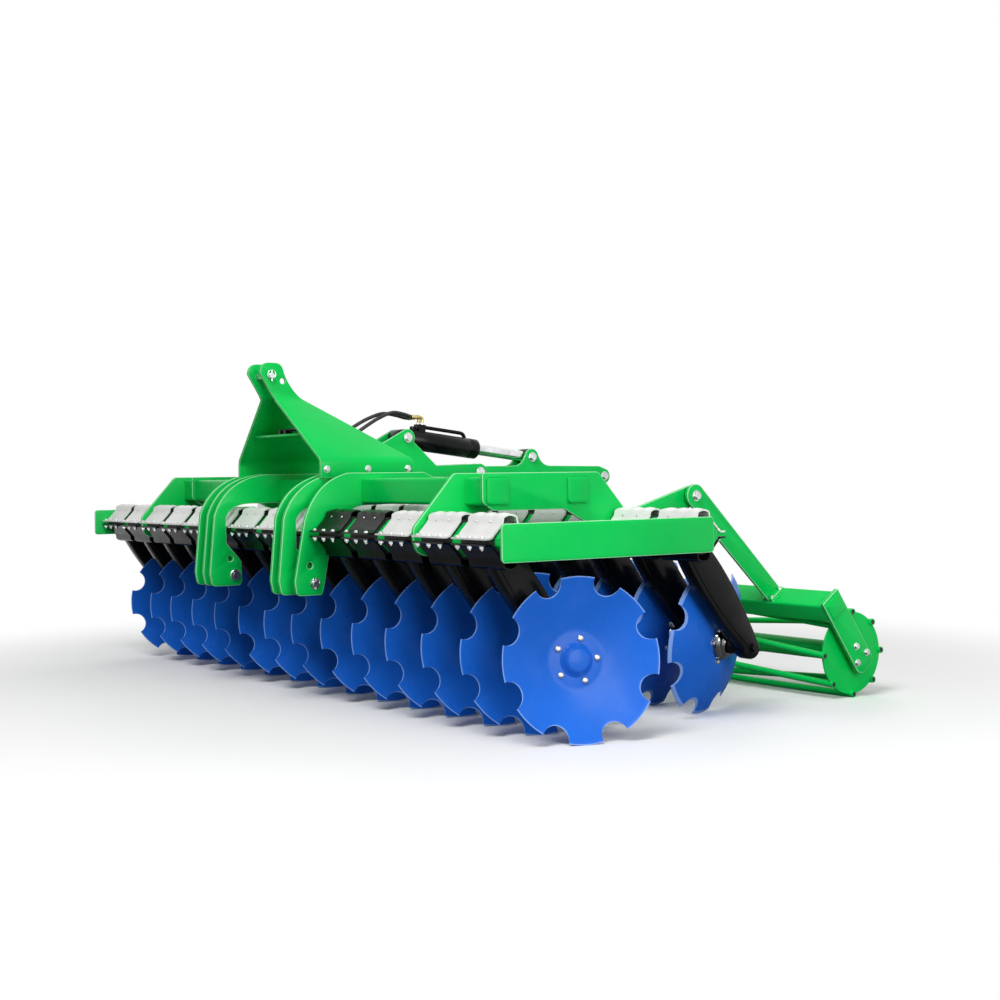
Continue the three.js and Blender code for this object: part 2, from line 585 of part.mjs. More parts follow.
function centreBracketSolid() {
  const inner = CENTRE_PLATE_SLOT / 2;
  const outer = inner + CENTRE_PLATE_THICKNESS;
  const foot = tubeTop + SEAT_GAP;
  const shape = new THREE.Shape();
  shape.moveTo(rearTubeY - 130, foot);
  shape.lineTo(ROCKER_PIN_Y - 120, foot);
  shape.lineTo(ROCKER_PIN_Y, ROCKER_PIN_Z - EYE_RADIUS);
  shape.absarc(ROCKER_PIN_Y, ROCKER_PIN_Z, EYE_RADIUS, -Math.PI / 2, Math.PI * 0.45, false);
  shape.lineTo(BASE_PIN_Y + 150, ROCKER_PIN_Z + EYE_RADIUS - 8);
  shape.lineTo(BASE_PIN_Y + EYE_RADIUS * 0.9, BASE_PIN_Z - 20);
  shape.absarc(BASE_PIN_Y, BASE_PIN_Z, EYE_RADIUS, -Math.PI / 6, Math.PI * 0.6, false);
  shape.lineTo(rearTubeY - 130, foot + 125);
  const pins = [
    crossPin(BIG_PIN_RADIUS, BASE_PIN_Y, BASE_PIN_Z, -outer - 8, outer + 8),
    crossPin(BIG_PIN_RADIUS, ROCKER_PIN_Y, ROCKER_PIN_Z, -outer - 8, outer + 8),
  ];
  const tie = block([-inner, rearTubeY - 60, foot], [inner, rearTubeY + 60, foot + 18]);
  return unite(sidePlate(shape, inner, outer), sidePlate(shape, -outer, -inner), tie, pins);
}

// The direction from the cylinder's base pin to its rod pin, in side view.
const cylinderRun = new THREE.Vector2(ROD_PIN_Y - BASE_PIN_Y, ROD_PIN_Z - BASE_PIN_Z);
const cylinderLength = cylinderRun.length();
const cylinderWay = cylinderRun.clone().normalize();

function onCylinder(distance, above = 0) {
  return [
    0,
    BASE_PIN_Y + cylinderWay.x * distance - cylinderWay.y * above,
    BASE_PIN_Z + cylinderWay.y * distance + cylinderWay.x * above,
  ];
}

function barrelSolid() {
  const eyeHalf = CENTRE_PLATE_SLOT / 2 - 6;
  const body = bar(BARREL_RADIUS, onCylinder(EYE_RADIUS - 4), onCylinder(BARREL_LENGTH), 16);
  const bore = bar(ROD_RADIUS + PIVOT_GAP, onCylinder(BARREL_LENGTH - 190), onCylinder(BARREL_LENGTH + 1), 12);
  const eye = crossPin(EYE_RADIUS, BASE_PIN_Y, BASE_PIN_Z, -eyeHalf, eyeHalf);
  const portBlock = sidePlate([[-17, 0], [17, 0], [17, BARREL_RADIUS + 27], [-17, BARREL_RADIUS + 27]]
    .map(([along, above]) => onCylinder(PORT_DISTANCE + along, above).slice(1)), -PORT_X - 11, PORT_X + 11);
  const fittings = [-PORT_X, PORT_X].map((x) => {
    const foot = onCylinder(PORT_DISTANCE, BARREL_RADIUS);
    const top = onCylinder(PORT_DISTANCE, PORT_HEIGHT);
    return bar(9, [x, foot[1], foot[2]], [x, top[1], top[2]], 8);
  });
  const glandPort = bar(14, onCylinder(BARREL_LENGTH - 45), onCylinder(BARREL_LENGTH - 45, BARREL_RADIUS + 12), 8);
  return cut(unite(body, eye, portBlock, fittings, glandPort), bore,
    crossHole(BIG_PIN_RADIUS + PIVOT_GAP, BASE_PIN_Y, BASE_PIN_Z, -eyeHalf - 1, eyeHalf + 1));
}

function rodSolid() {
  const eyeHalf = ROCKER_SLOT / 2 - 5;
  const rod = bar(ROD_RADIUS, onCylinder(BARREL_LENGTH - 150), onCylinder(cylinderLength - EYE_RADIUS + 8), 12);
  const eye = crossPin(EYE_RADIUS, ROD_PIN_Y, ROD_PIN_Z, -eyeHalf, eyeHalf);
  return cut(unite(rod, eye),
    crossHole(BIG_PIN_RADIUS + EYE_PLAY, ROD_PIN_Y, ROD_PIN_Z, -eyeHalf - 1, eyeHalf + 1));
}

function rockerSolid() {
  const inner = ROCKER_SLOT / 2;
  const outer = inner + ROCKER_THICKNESS;
  const half = ROCKER_DEPTH / 2;
  const topZ = ROCKER_PIN_Z + 26;
  const shape = new THREE.Shape();
  shape.moveTo(ROCKER_PIN_Y - 30, ROCKER_PIN_Z - 34);
  shape.lineTo(STRUT_TOP_Y - 20, STRUT_TOP_Z - 34);
  shape.absarc(STRUT_TOP_Y, STRUT_TOP_Z, half - 4, -Math.PI * 0.6, Math.PI * 0.35, false);
  shape.lineTo(STRUT_TOP_Y - 30, topZ - 4);
  shape.lineTo(ROD_PIN_Y + 75, topZ);
  shape.lineTo(ROD_PIN_Y + 34, ROD_PIN_Z + 18);
  shape.absarc(ROD_PIN_Y, ROD_PIN_Z, EYE_RADIUS, Math.PI * 0.15, Math.PI * 0.85, false);
  shape.lineTo(ROD_PIN_Y - 80, topZ);
  shape.lineTo(ROCKER_PIN_Y - 20, topZ);
  shape.absarc(ROCKER_PIN_Y, ROCKER_PIN_Z, half, Math.PI * 0.6, Math.PI * 1.25, false);
  const plates = [sidePlate(shape, inner, outer), sidePlate(shape, -outer, -inner)];
  const pins = [
    crossPin(BIG_PIN_RADIUS, ROD_PIN_Y, ROD_PIN_Z, -outer - 10, outer + 10),
    crossPin(BIG_PIN_RADIUS, STRUT_TOP_Y, STRUT_TOP_Z, -outer - 10, outer + 10),
    crossPin(16, ROD_PIN_Y + 200, ROCKER_PIN_Z - 4, -inner, inner, 12),
  ];
  return cut(unite(plates, pins),
    crossHole(BIG_PIN_RADIUS + PIVOT_GAP, ROCKER_PIN_Y, ROCKER_PIN_Z, -outer - 1, outer + 1));
}

function strutSolid() {
  const eyeHalf = ROCKER_SLOT / 2 - 5;
  const eyes = [
    crossPin(EYE_RADIUS - 6, STRUT_TOP_Y, STRUT_TOP_Z, -eyeHalf, eyeHalf),
    crossPin(EYE_RADIUS - 6, STRUT_FOOT_Y, STRUT_FOOT_Z, -eyeHalf, eyeHalf),
  ];
  const shank = bar(STRUT_RADIUS, [0, STRUT_TOP_Y, STRUT_TOP_Z], [0, STRUT_FOOT_Y, STRUT_FOOT_Z], 14);
  return cut(unite(eyes, shank),
    crossHole(BIG_PIN_RADIUS + EYE_PLAY, STRUT_TOP_Y, STRUT_TOP_Z, -eyeHalf - 1, eyeHalf + 1),
    crossHole(BIG_PIN_RADIUS + PIVOT_GAP, STRUT_FOOT_Y, STRUT_FOOT_Z, -eyeHalf - 1, eyeHalf + 1));
}

// ---------------------------------------------------------------- roller and its frame

// A point in side view given up the roller's end plates and across them from the roller's axis.
function onRollerPlate(up, across) {
  const rise = rollerPlateRise;
  return [
    ROLLER_AXIS_Y - Math.sin(rise) * up + Math.cos(rise) * across,
    rollerAxisZ + Math.cos(rise) * up + Math.sin(rise) * across,
  ];
}

const rollerBeamTop = ROLLER_PLATE_ABOVE - 12;

function rollerBeamSolid() {
  const half = ROLLER_BEAM_WIDTH / 2;
  const end = ROLLER_PLATE_X - SEAT_GAP;
  const bottom = rollerBeamTop - ROLLER_BEAM_DEPTH;
  const beam = sidePlate([
    onRollerPlate(bottom, -half), onRollerPlate(bottom, half),
    onRollerPlate(rollerBeamTop, half), onRollerPlate(rollerBeamTop, -half),
  ], -end, end);
  const inner = ROCKER_SLOT / 2;
  const outer = inner + ROCKER_THICKNESS;
  const lug = new THREE.Shape();
  lug.moveTo(...onRollerPlate(rollerBeamTop - 10, half - 2));
  lug.lineTo(STRUT_FOOT_Y + EYE_RADIUS, STRUT_FOOT_Z);
  lug.absarc(STRUT_FOOT_Y, STRUT_FOOT_Z, EYE_RADIUS, 0, Math.PI, false);
  lug.lineTo(...onRollerPlate(rollerBeamTop - 10, -half + 2));
  return unite(beam, sidePlate(lug, inner, outer), sidePlate(lug, -outer, -inner),
    crossPin(BIG_PIN_RADIUS, STRUT_FOOT_Y, STRUT_FOOT_Z, -outer - 8, outer + 8));
}

function rollerEndPlateSolid(side) {
  const half = ROLLER_PLATE_WIDTH / 2;
  const edges = [side * ROLLER_PLATE_X, side * (ROLLER_PLATE_X + ROLLER_PLATE_THICKNESS)].sort((a, b) => a - b);
  const outline = [
    onRollerPlate(-ROLLER_PLATE_BELOW, -half + 20), onRollerPlate(-ROLLER_PLATE_BELOW, half - 20),
    onRollerPlate(-ROLLER_PLATE_BELOW + 20, half), onRollerPlate(ROLLER_PLATE_ABOVE, half),
    onRollerPlate(ROLLER_PLATE_ABOVE, -half), onRollerPlate(-ROLLER_PLATE_BELOW + 20, -half),
  ];
  const bore = crossHole(ROLLER_STUB_RADIUS + PIVOT_GAP, ROLLER_AXIS_Y, rollerAxisZ,
    edges[0] - 1, edges[1] + 1, ROLLER_STUB_SIDES);
  return cut(sidePlate(outline, ...edges), bore);
}

// A roller arm beside the rear carrier at plateX: a round eye on the pivot, then a plate that
// widens on to a foot seated on top of the roller beam.
function rollerArmSolid(plateX, side) {
  const inner = plateX - side * (CARRIER_THICKNESS / 2) + side * PIVOT_GAP;
  const edges = [inner, inner + side * ROLLER_ARM_THICKNESS].sort((a, b) => a - b);
  const seat = rollerBeamTop + SEAT_GAP;
  const half = ROLLER_ARM_HALF_WIDTH;
  const shape = new THREE.Shape();
  shape.moveTo(...onRollerPlate(seat, half - 8));
  shape.lineTo(ARM_PIVOT_Y + half * Math.cos(Math.PI / 5), ARM_PIVOT_Z + half * Math.sin(Math.PI / 5));
  shape.absarc(ARM_PIVOT_Y, ARM_PIVOT_Z, half, Math.PI / 5, Math.PI * 1.28, false);
  shape.lineTo(...onRollerPlate(seat, -half));
  const footEdges = [edges[0] - 20, edges[1] + 20];
  const foot = sidePlate([
    onRollerPlate(seat, -half), onRollerPlate(seat, half - 8),
    onRollerPlate(seat + 12, half - 8), onRollerPlate(seat + 12, -half),
  ], ...footEdges);
  return cut(unite(sidePlate(shape, ...edges), foot),
    crossHole(ARM_PIN_RADIUS + PIVOT_GAP, ARM_PIVOT_Y, ARM_PIVOT_Z, edges[0] - 1, edges[1] + 1));
}

// One bar of the cage: a round tube wound gently round the roller's axis.
function rollerBarSolid(index) {
  const radius = ROLLER_RADIUS - ROLLER_BAR_RADIUS;
  const start = (index * 2 * Math.PI) / ROLLER_BARS;
  const steps = 8;
  const points = [];
  for (let step = 0; step <= steps; step += 1) {
    const share = step / steps;
    const angle = start + radians(ROLLER_TWIST) * share;
    points.push(new THREE.Vector3(
      -ROLLER_HALF_LENGTH + 2 * ROLLER_HALF_LENGTH * share, radius * Math.cos(angle), radius * Math.sin(angle)));
  }
  const section = new THREE.Shape();
  section.absarc(0, 0, ROLLER_BAR_RADIUS, 0, 2 * Math.PI, false);
  const geometry = new THREE.ExtrudeGeometry(section, {
    steps, bevelEnabled: false, curveSegments: 3, extrudePath: new THREE.CatmullRomCurve3(points),
  });
  return solid(geometry);
}

function rollerSolid() {
  const bars = [];
  for (let index = 0; index < ROLLER_BARS; index += 1) {
    bars.push(rollerBarSolid(index));
  }
  const discs = [];
  const outermost = ROLLER_HALF_LENGTH - 10 - ROLLER_DISC_THICKNESS / 2;
  for (let index = 0; index < ROLLER_DISCS; index += 1) {
    const middle = -outermost + (2 * outermost * index) / (ROLLER_DISCS - 1);
    discs.push(crossPin(ROLLER_RADIUS - ROLLER_BAR_RADIUS, 0, 0,
      middle - ROLLER_DISC_THICKNESS / 2, middle + ROLLER_DISC_THICKNESS / 2, 16));
  }
  const shaft = crossPin(ROLLER_TUBE_RADIUS, 0, 0, -outermost, outermost, 10);
  const stubEnd = ROLLER_PLATE_X + ROLLER_PLATE_THICKNESS;
  const stub = crossPin(ROLLER_STUB_RADIUS, 0, 0, -stubEnd, stubEnd, ROLLER_STUB_SIDES);
  return unite(bars, discs, shaft, stub);
}

// ---------------------------------------------------------------- guards and hoses

function guardSolid(side) {
  const inner = BEAM_HALF_LENGTH + SEAT_GAP;
  const edges = [side * inner, side * (inner + GUARD_THICKNESS)].sort((a, b) => a - b);
  const front = frontBeamY - GUARD_FRONT;
  const rear = rearBeamY + GUARD_REAR;
  const corner = 14;
  return sidePlate([
    [front + corner, GUARD_BOTTOM], [rear, GUARD_BOTTOM], [rear, GUARD_TOP],
    [front + corner, GUARD_TOP], [front, GUARD_TOP - corner], [front, GUARD_BOTTOM + corner],
  ], ...edges);
}

// A hose from its coupler on the headstock bar, dipping behind the headstock and arching over the
// cylinder's base pin to stop just ahead of its fitting on the barrel.
function hoseSolid(side) {
  const couplerZ = TOWER_BAR_Z + TOWER_BAR_THICKNESS / 2 + COUPLER_RADIUS - 2;
  const points = [
    [COUPLER_X, couplerEndY + SEAT_GAP, couplerZ], [COUPLER_X, couplerEndY + 40, couplerZ],
    [22, -70, 1096], [20, -10, 1085], [19, 50, 1093], [18, 105, 1117], [17, 160, 1150], [16, 220, 1182],
    [PORT_X, 285, 1204], [PORT_X, 345, 1212], [PORT_X, 400, 1208],
  ].map(([x, y, z]) => new THREE.Vector3(side * x, y, z));
  const section = new THREE.Shape();
  section.absarc(0, 0, HOSE_RADIUS, 0, 2 * Math.PI, false);
  const geometry = new THREE.ExtrudeGeometry(section, {
    steps: 22, bevelEnabled: false, curveSegments: 4, extrudePath: new THREE.CatmullRomCurve3(points),
  });
  return solid(geometry);
}

// ---------------------------------------------------------------- assembly

const harrow = new THREE.Group();

function place(name, body, material, centre = [0, 0, 0]) {
  const mesh = new THREE.Mesh(geometryOf(body), material);
  mesh.name = name;
  mesh.position.set(...centre);
  harrow.add(mesh);
  return mesh;
}

const disc = geometryOf(discSolid());
for (const row of ['front', 'rear']) {
  for (let index = 0; index < DISCS_PER_ROW; index += 1) {
    const { axis, centre } = discPlace(row, index);
    const mesh = new THREE.Mesh(disc, bluePaint);
    mesh.name = `${row}_disc_${String(index + 1).padStart(2, '0')}`;
    mesh.position.copy(centre);
    const across = new THREE.Vector3(0, 0, 1).cross(axis).normalize();
    mesh.quaternion.setFromRotationMatrix(new THREE.Matrix4().makeBasis(across, axis.clone().cross(across), axis));
    harrow.add(mesh);
  }
  place(`${row}_gang`, gangSolid(row), blackPaint);
}

place('front_cross_tube', crossTube(frontTubeY), greenPaint);
place('rear_cross_tube', crossTube(rearTubeY), greenPaint);
place('rear_carrier_left', carrierSolid(1, outerCarrierX, 1), greenPaint);
place('front_carrier_left', carrierSolid(-1, innerCarrierX, 1), greenPaint);
place('rear_carrier_right', carrierSolid(1, -innerCarrierX, -1), greenPaint);
place('front_carrier_right', carrierSolid(-1, -outerCarrierX, -1), greenPaint);

place('outer_hitch_plate_left', hitchPlate(HITCH_OUTER_X, true, true), greenPaint);
place('outer_hitch_plate_right', hitchPlate(-HITCH_OUTER_X, false, true), greenPaint);
place('hitch_fork_left', hitchForkSolid(1), greenPaint);
place('hitch_fork_right', hitchForkSolid(-1), greenPaint);
place('headstock_panel_left', towerPanelSolid(1), greenPaint);
place('headstock_panel_right', towerPanelSolid(-1), greenPaint);
place('headstock_bar', towerBarSolid(), greenPaint);
const topPinEnd = TOWER_EAR_GAP / 2 + TOWER_SHEET + 16;
place('top_link_pin', crossPin(TOP_PIN_RADIUS, TOP_PIN_Y, TOP_PIN_Z, -topPinEnd, topPinEnd, 16), zinc);

place('centre_bracket', centreBracketSolid(), greenPaint);
place('cylinder_barrel', barrelSolid(), blackPaint);
place('cylinder_hose_left', hoseSolid(1), rubber);
place('cylinder_hose_right', hoseSolid(-1), rubber);
place('cylinder_rod', rodSolid(), chrome);
place('depth_rocker', rockerSolid(), greenPaint);
place('depth_strut', strutSolid(), greenPaint);

place('roller_arm_left', rollerArmSolid(outerCarrierX, 1), greenPaint);
place('roller_arm_right', rollerArmSolid(-innerCarrierX, -1), greenPaint);
place('roller_beam', rollerBeamSolid(), greenPaint);
place('roller_end_plate_left', rollerEndPlateSolid(1), greenPaint);
place('roller_end_plate_right', rollerEndPlateSolid(-1), greenPaint);
place('cage_roller', rollerSolid(), greenPaint, [0, ROLLER_AXIS_Y, rollerAxisZ]);
place('guard_left', guardSolid(1), greenPaint);
place('guard_right', guardSolid(-1), greenPaint);

const extent = new THREE.Box3().setFromObject(harrow, true);
harrow.position.set(-(extent.min.x + extent.max.x) / 2, -(extent.min.y + extent.max.y) / 2, -GROUND_Z);

export default harrow;
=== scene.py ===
import json
import math

import bmesh
import bpy
from mathutils import Matrix, Vector, noise


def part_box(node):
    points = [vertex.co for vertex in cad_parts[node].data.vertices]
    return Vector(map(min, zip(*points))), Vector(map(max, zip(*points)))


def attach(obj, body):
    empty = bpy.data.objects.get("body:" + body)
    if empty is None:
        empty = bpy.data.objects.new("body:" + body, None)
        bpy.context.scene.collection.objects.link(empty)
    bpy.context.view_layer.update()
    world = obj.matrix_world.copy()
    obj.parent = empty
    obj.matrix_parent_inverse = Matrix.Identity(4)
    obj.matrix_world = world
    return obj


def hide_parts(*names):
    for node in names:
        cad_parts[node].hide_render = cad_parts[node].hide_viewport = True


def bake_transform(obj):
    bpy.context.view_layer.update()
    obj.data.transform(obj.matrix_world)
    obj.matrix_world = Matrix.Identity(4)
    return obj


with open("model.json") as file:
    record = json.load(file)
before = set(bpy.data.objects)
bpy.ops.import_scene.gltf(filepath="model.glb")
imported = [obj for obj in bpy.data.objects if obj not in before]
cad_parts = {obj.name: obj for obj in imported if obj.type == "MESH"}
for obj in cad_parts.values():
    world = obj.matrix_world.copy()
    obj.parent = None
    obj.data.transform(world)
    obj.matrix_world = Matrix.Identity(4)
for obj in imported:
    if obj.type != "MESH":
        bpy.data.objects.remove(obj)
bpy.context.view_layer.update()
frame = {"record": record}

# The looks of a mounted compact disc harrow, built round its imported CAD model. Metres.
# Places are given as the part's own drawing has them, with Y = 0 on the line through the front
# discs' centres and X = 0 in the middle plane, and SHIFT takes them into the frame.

# ---------------------------------------------------------------- sizes

GROUND_Z = 0.025

DISC_RADIUS = 0.280
DISC_THICKNESS = 0.006
DISC_DISH = 0.060
DISC_FLAT_RADIUS = 0.100
DISC_NOTCHES = 8
NOTCH_RADIUS = 0.0485
HUB_LENGTH = 0.040
DISC_SPACING = 0.250
DISCS_PER_ROW = 14

BEAM_HEIGHT = 0.705
BEAM_REACH = 0.100 / math.sqrt(2)
BEAM_CORNER = 0.012
BEAM_HALF_LENGTH = 1.797
BEAM_Y = {"front": -0.265, "rear": 0.475}
FIRST_ARM_X = {"front": 1.5625, "rear": 1.6875}

CLAMP_HALF = 0.100
CLAMP_REACH = 0.095
CLAMP_SHEET = 0.006
FLANGE_REACH = 0.102
FLANGE_HEIGHT = 0.026
DARK_COVERS = (3, 4)               # front clamps whose covers keep their own black; the other covers are painted near-white, a painted reflection of the bright sky
ARM_HALF_WIDTH = 0.035
ARM_END_RADIUS = 0.042

TUBE_SIDE = 0.100
TUBE_HEIGHT = 0.867
TUBE_Y = {"front": -0.075, "rear": 0.285}
TUBE_TOP = TUBE_HEIGHT + TUBE_SIDE / 2
CARRIER_X = {"outer": 1.3125, "inner": 1.1875}
CARRIER_HALF = 0.007
CARRIER_TOP = 0.932
CARRIER_BOTTOM = 0.797
FRAME_MIDDLE_Y = (TUBE_Y["front"] + TUBE_Y["rear"]) / 2

HITCH_HALF = 0.008
HITCH_X = {"outer": 0.4375, "middle": 0.3585, "inner": 0.2885}
HITCH_TOP = 0.940
LOWER_PIN = (-0.337, 0.508)
LOWER_PIN_RADIUS = 0.014

TOWER_SHEET = 0.012
EAR_X = 0.050
TOWER_FOOT_X = 0.3668
NECK_Z = 1.250
FOOT_Z = 0.990
TOWER_TOP_Z = 1.400
TOP_PIN = (-0.328, 1.345)
TOP_PIN_RADIUS = 0.0125
TOWER_BAR_TOP = 1.105

CENTRE_SLOT = 0.100
CENTRE_PLATE = 0.012
BASE_PIN = (0.332, 1.093)
ROCKER_PIN = (0.714, 0.940)
ROD_PIN = (1.020, 1.007)
STRUT_TOP = (1.451, 0.914)
BIG_PIN_RADIUS = 0.018
EYE_RADIUS = 0.038
ROCKER_SLOT = 0.066
ROCKER_PLATE = 0.012
BARREL_RADIUS = 0.045
BARREL_LENGTH = 0.402
ROD_RADIUS = 0.025
OPEN_EYE_ROOM = 0.003              # round the pins at which the closed linkage is opened
PORT_DISTANCE = 0.095
PORT_X = 0.015
HOSE_RADIUS = 0.008
COUPLER_RADIUS = 0.013
COUPLER_X = 0.024

ARM_PIVOT = (0.860, 0.834)
ARM_PIN_RADIUS = 0.016
ROLLER_ARM_THICKNESS = 0.014
ROLLER_ARM_HALF_WIDTH = 0.045
ROLLER_RISE = math.radians(35)
ROLLER_RADIUS = 0.176
ROLLER_BAR_RADIUS = 0.013
ROLLER_BARS = 8
ROLLER_TWIST = math.radians(90)
ROLLER_HALF_LENGTH = 1.600
ROLLER_DISCS = 5
ROLLER_DISC_THICKNESS = 0.008
ROLLER_AXIS_Y = 1.445
ROLLER_AXIS_Z = GROUND_Z + ROLLER_RADIUS
ROLLER_PLATE_X = 1.617
ROLLER_PLATE_THICKNESS = 0.016
ROLLER_PLATE_WIDTH = 0.102
ROLLER_PLATE_ABOVE = 0.287
ROLLER_PLATE_BELOW = 0.073
ROLLER_BEAM_TOP = ROLLER_PLATE_ABOVE - 0.012
ROLLER_BEAM_WIDTH = 0.100
ROLLER_BEAM_DEPTH = 0.080
STRUT_FOOT = (1.330, 0.500)
STRUT_RADIUS = 0.022

GUARD_X = 1.7973
GUARD_THICKNESS = 0.010
GUARD_FRONT = 0.137
GUARD_REAR = 0.030
GUARD_BOTTOM = 0.645
GUARD_TOP = 0.770

EDGE = 0.0022                      # rounding along a flame-cut plate's edges
HIGHLIGHT_EDGE_WIDTH = 0.0030           # wider faces than this are no cut edge and get no painted edge highlight
PIN_GAP = 0.0006                   # between a pin and the eye round it
SEAT_GAP = 0.0003                  # between parts that are bolted together
PIN_HEAD = 0.019
PIN_SIDES = 28
WASHER_HEIGHT = 0.16               # as a share of the bolt's size
WASHER_RADIUS = 1.15
FLAT_SIDED = 25                    # smoothing angle of bolts, in degrees
ROUND_SIDED = 60                   # smoothing angle of welds and hoses, in degrees

WORLD_LIGHTING = 0.26
FLOOR_TONE = 0.22                  # what the floor throws back on the machine
FLOOR_FADE = (1.9, 3.6)            # from the machine's middle, where the floor turns to backdrop

ROWS = ("front", "rear")
SIDES = ((1, "left"), (-1, "right"))
ROLLER_ARMS = ((1, CARRIER_X["outer"], "left"), (-1, -CARRIER_X["inner"], "right"))
JOINTS = {joint["name"]: joint for joint in frame["record"]["behaviour"]["joints"]}


def middle_of(node, axis):
    low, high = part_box(node)
    return (low[axis] + high[axis]) / 2


SHIFT = Vector((middle_of("top_link_pin", 0), middle_of("top_link_pin", 1) - TOP_PIN[0], -GROUND_Z))

# ---------------------------------------------------------------- camera, lamps and floor


def add_camera():
    data = bpy.data.cameras.new("camera")
    data.sensor_width = 36
    data.lens = 53.6
    data.shift_y = -0.037
    camera = bpy.data.objects.new("camera", data)
    bpy.context.collection.objects.link(camera)
    heading = math.radians(35.2)
    look = Vector((-math.cos(heading), math.sin(heading), math.tan(math.radians(0.48))))
    turn = look.to_track_quat("-Z", "Y") @ Matrix.Rotation(math.radians(-0.71), 3, "Z").to_quaternion()
    camera.location = Vector((5.627, -3.100, 0.922)) + SHIFT
    camera.rotation_mode = "QUATERNION"
    camera.rotation_quaternion = turn
    bpy.context.scene.camera = camera


def add_lamp(name, place, target, size, power, mirrored=True):
    data = bpy.data.lights.new(name, "AREA")
    data.size = size
    data.energy = power
    lamp = bpy.data.objects.new(name, data)
    lamp.location = place
    lamp.rotation_euler = (Vector(target) - Vector(place)).to_track_quat("-Z", "Y").to_euler()
    lamp.visible_glossy = mirrored
    bpy.context.collection.objects.link(lamp)


def looked_at(tree):
    """1 on rays that show a surface, straight or mirrored or through glass, and 0 on rays that light it."""
    path = tree.nodes.new("ShaderNodeLightPath")
    seen = path.outputs["Is Camera Ray"]
    for kind in ("Is Glossy Ray", "Is Transmission Ray"):
        either = tree.nodes.new("ShaderNodeMath")
        either.operation = "MAXIMUM"
        tree.links.new(seen, either.inputs[0])
        tree.links.new(path.outputs[kind], either.inputs[1])
        seen = either.outputs[0]
    return seen


def add_world():
    """White where it is looked at, and dimmer where it lights the machine."""
    world = bpy.data.worlds.new("studio")
    world.use_nodes = True
    tree = world.node_tree
    tree.nodes.clear()
    mix = tree.nodes.new("ShaderNodeMixShader")
    tree.links.new(looked_at(tree), mix.inputs[0])
    for strength, socket in ((WORLD_LIGHTING, mix.inputs[1]), (1.0, mix.inputs[2])):
        background = tree.nodes.new("ShaderNodeBackground")
        background.inputs["Color"].default_value = (1, 1, 1, 1)
        background.inputs["Strength"].default_value = strength
        tree.links.new(background.outputs[0], socket)
    tree.links.new(mix.outputs[0], tree.nodes.new("ShaderNodeOutputWorld").inputs["Surface"])
    bpy.context.scene.world = world


def floor_material():
    """Pale and matt round the machine, where its shadow falls, fading into the white backdrop."""
    n = Nodes("floor")
    n.set(Roughness=0.9, Specular_IOR_Level=0.1)
    camera_ray = n.add("ShaderNodeLightPath").outputs["Is Camera Ray"]
    n.link(n.span(camera_ray, FLOOR_TONE, 1.0), n.shader.inputs["Base Color"])
    reach = n.add("ShaderNodeVectorMath")
    reach.operation = "LENGTH"
    n.link(n.add("ShaderNodeNewGeometry").outputs["Position"], reach.inputs[0])
    fade = n.span(reach.outputs["Value"], 0.0, 1.0, *FLOOR_FADE)
    fade.node.interpolation_type = "SMOOTHSTEP"
    both = n.add("ShaderNodeMath")
    both.operation = "MULTIPLY"
    n.link(looked_at(n.tree), both.inputs[0])
    n.link(fade, both.inputs[1])
    glow = n.add("ShaderNodeEmission")
    glow.inputs["Color"].default_value = (1, 1, 1, 1)
    mix = n.add("ShaderNodeMixShader")
    for output, socket in zip((both.outputs[0], n.shader.outputs[0], glow.outputs[0]), mix.inputs):
        n.link(output, socket)
    n.link(mix.outputs[0], n.tree.nodes["Material Output"].inputs["Surface"])
    return n.material


def add_floor():
    mesh = bpy.data.meshes.new("floor")
    half = 40
    corners = [(-half, -half, 0), (half, -half, 0), (half, half, 0), (-half, half, 0)]
    mesh.from_pydata(corners, [], [(0, 1, 2, 3)])
    floor = bpy.data.objects.new("floor", mesh)
    bpy.context.collection.objects.link(floor)
    mesh.materials.append(floor_material())


# ---------------------------------------------------------------- materials


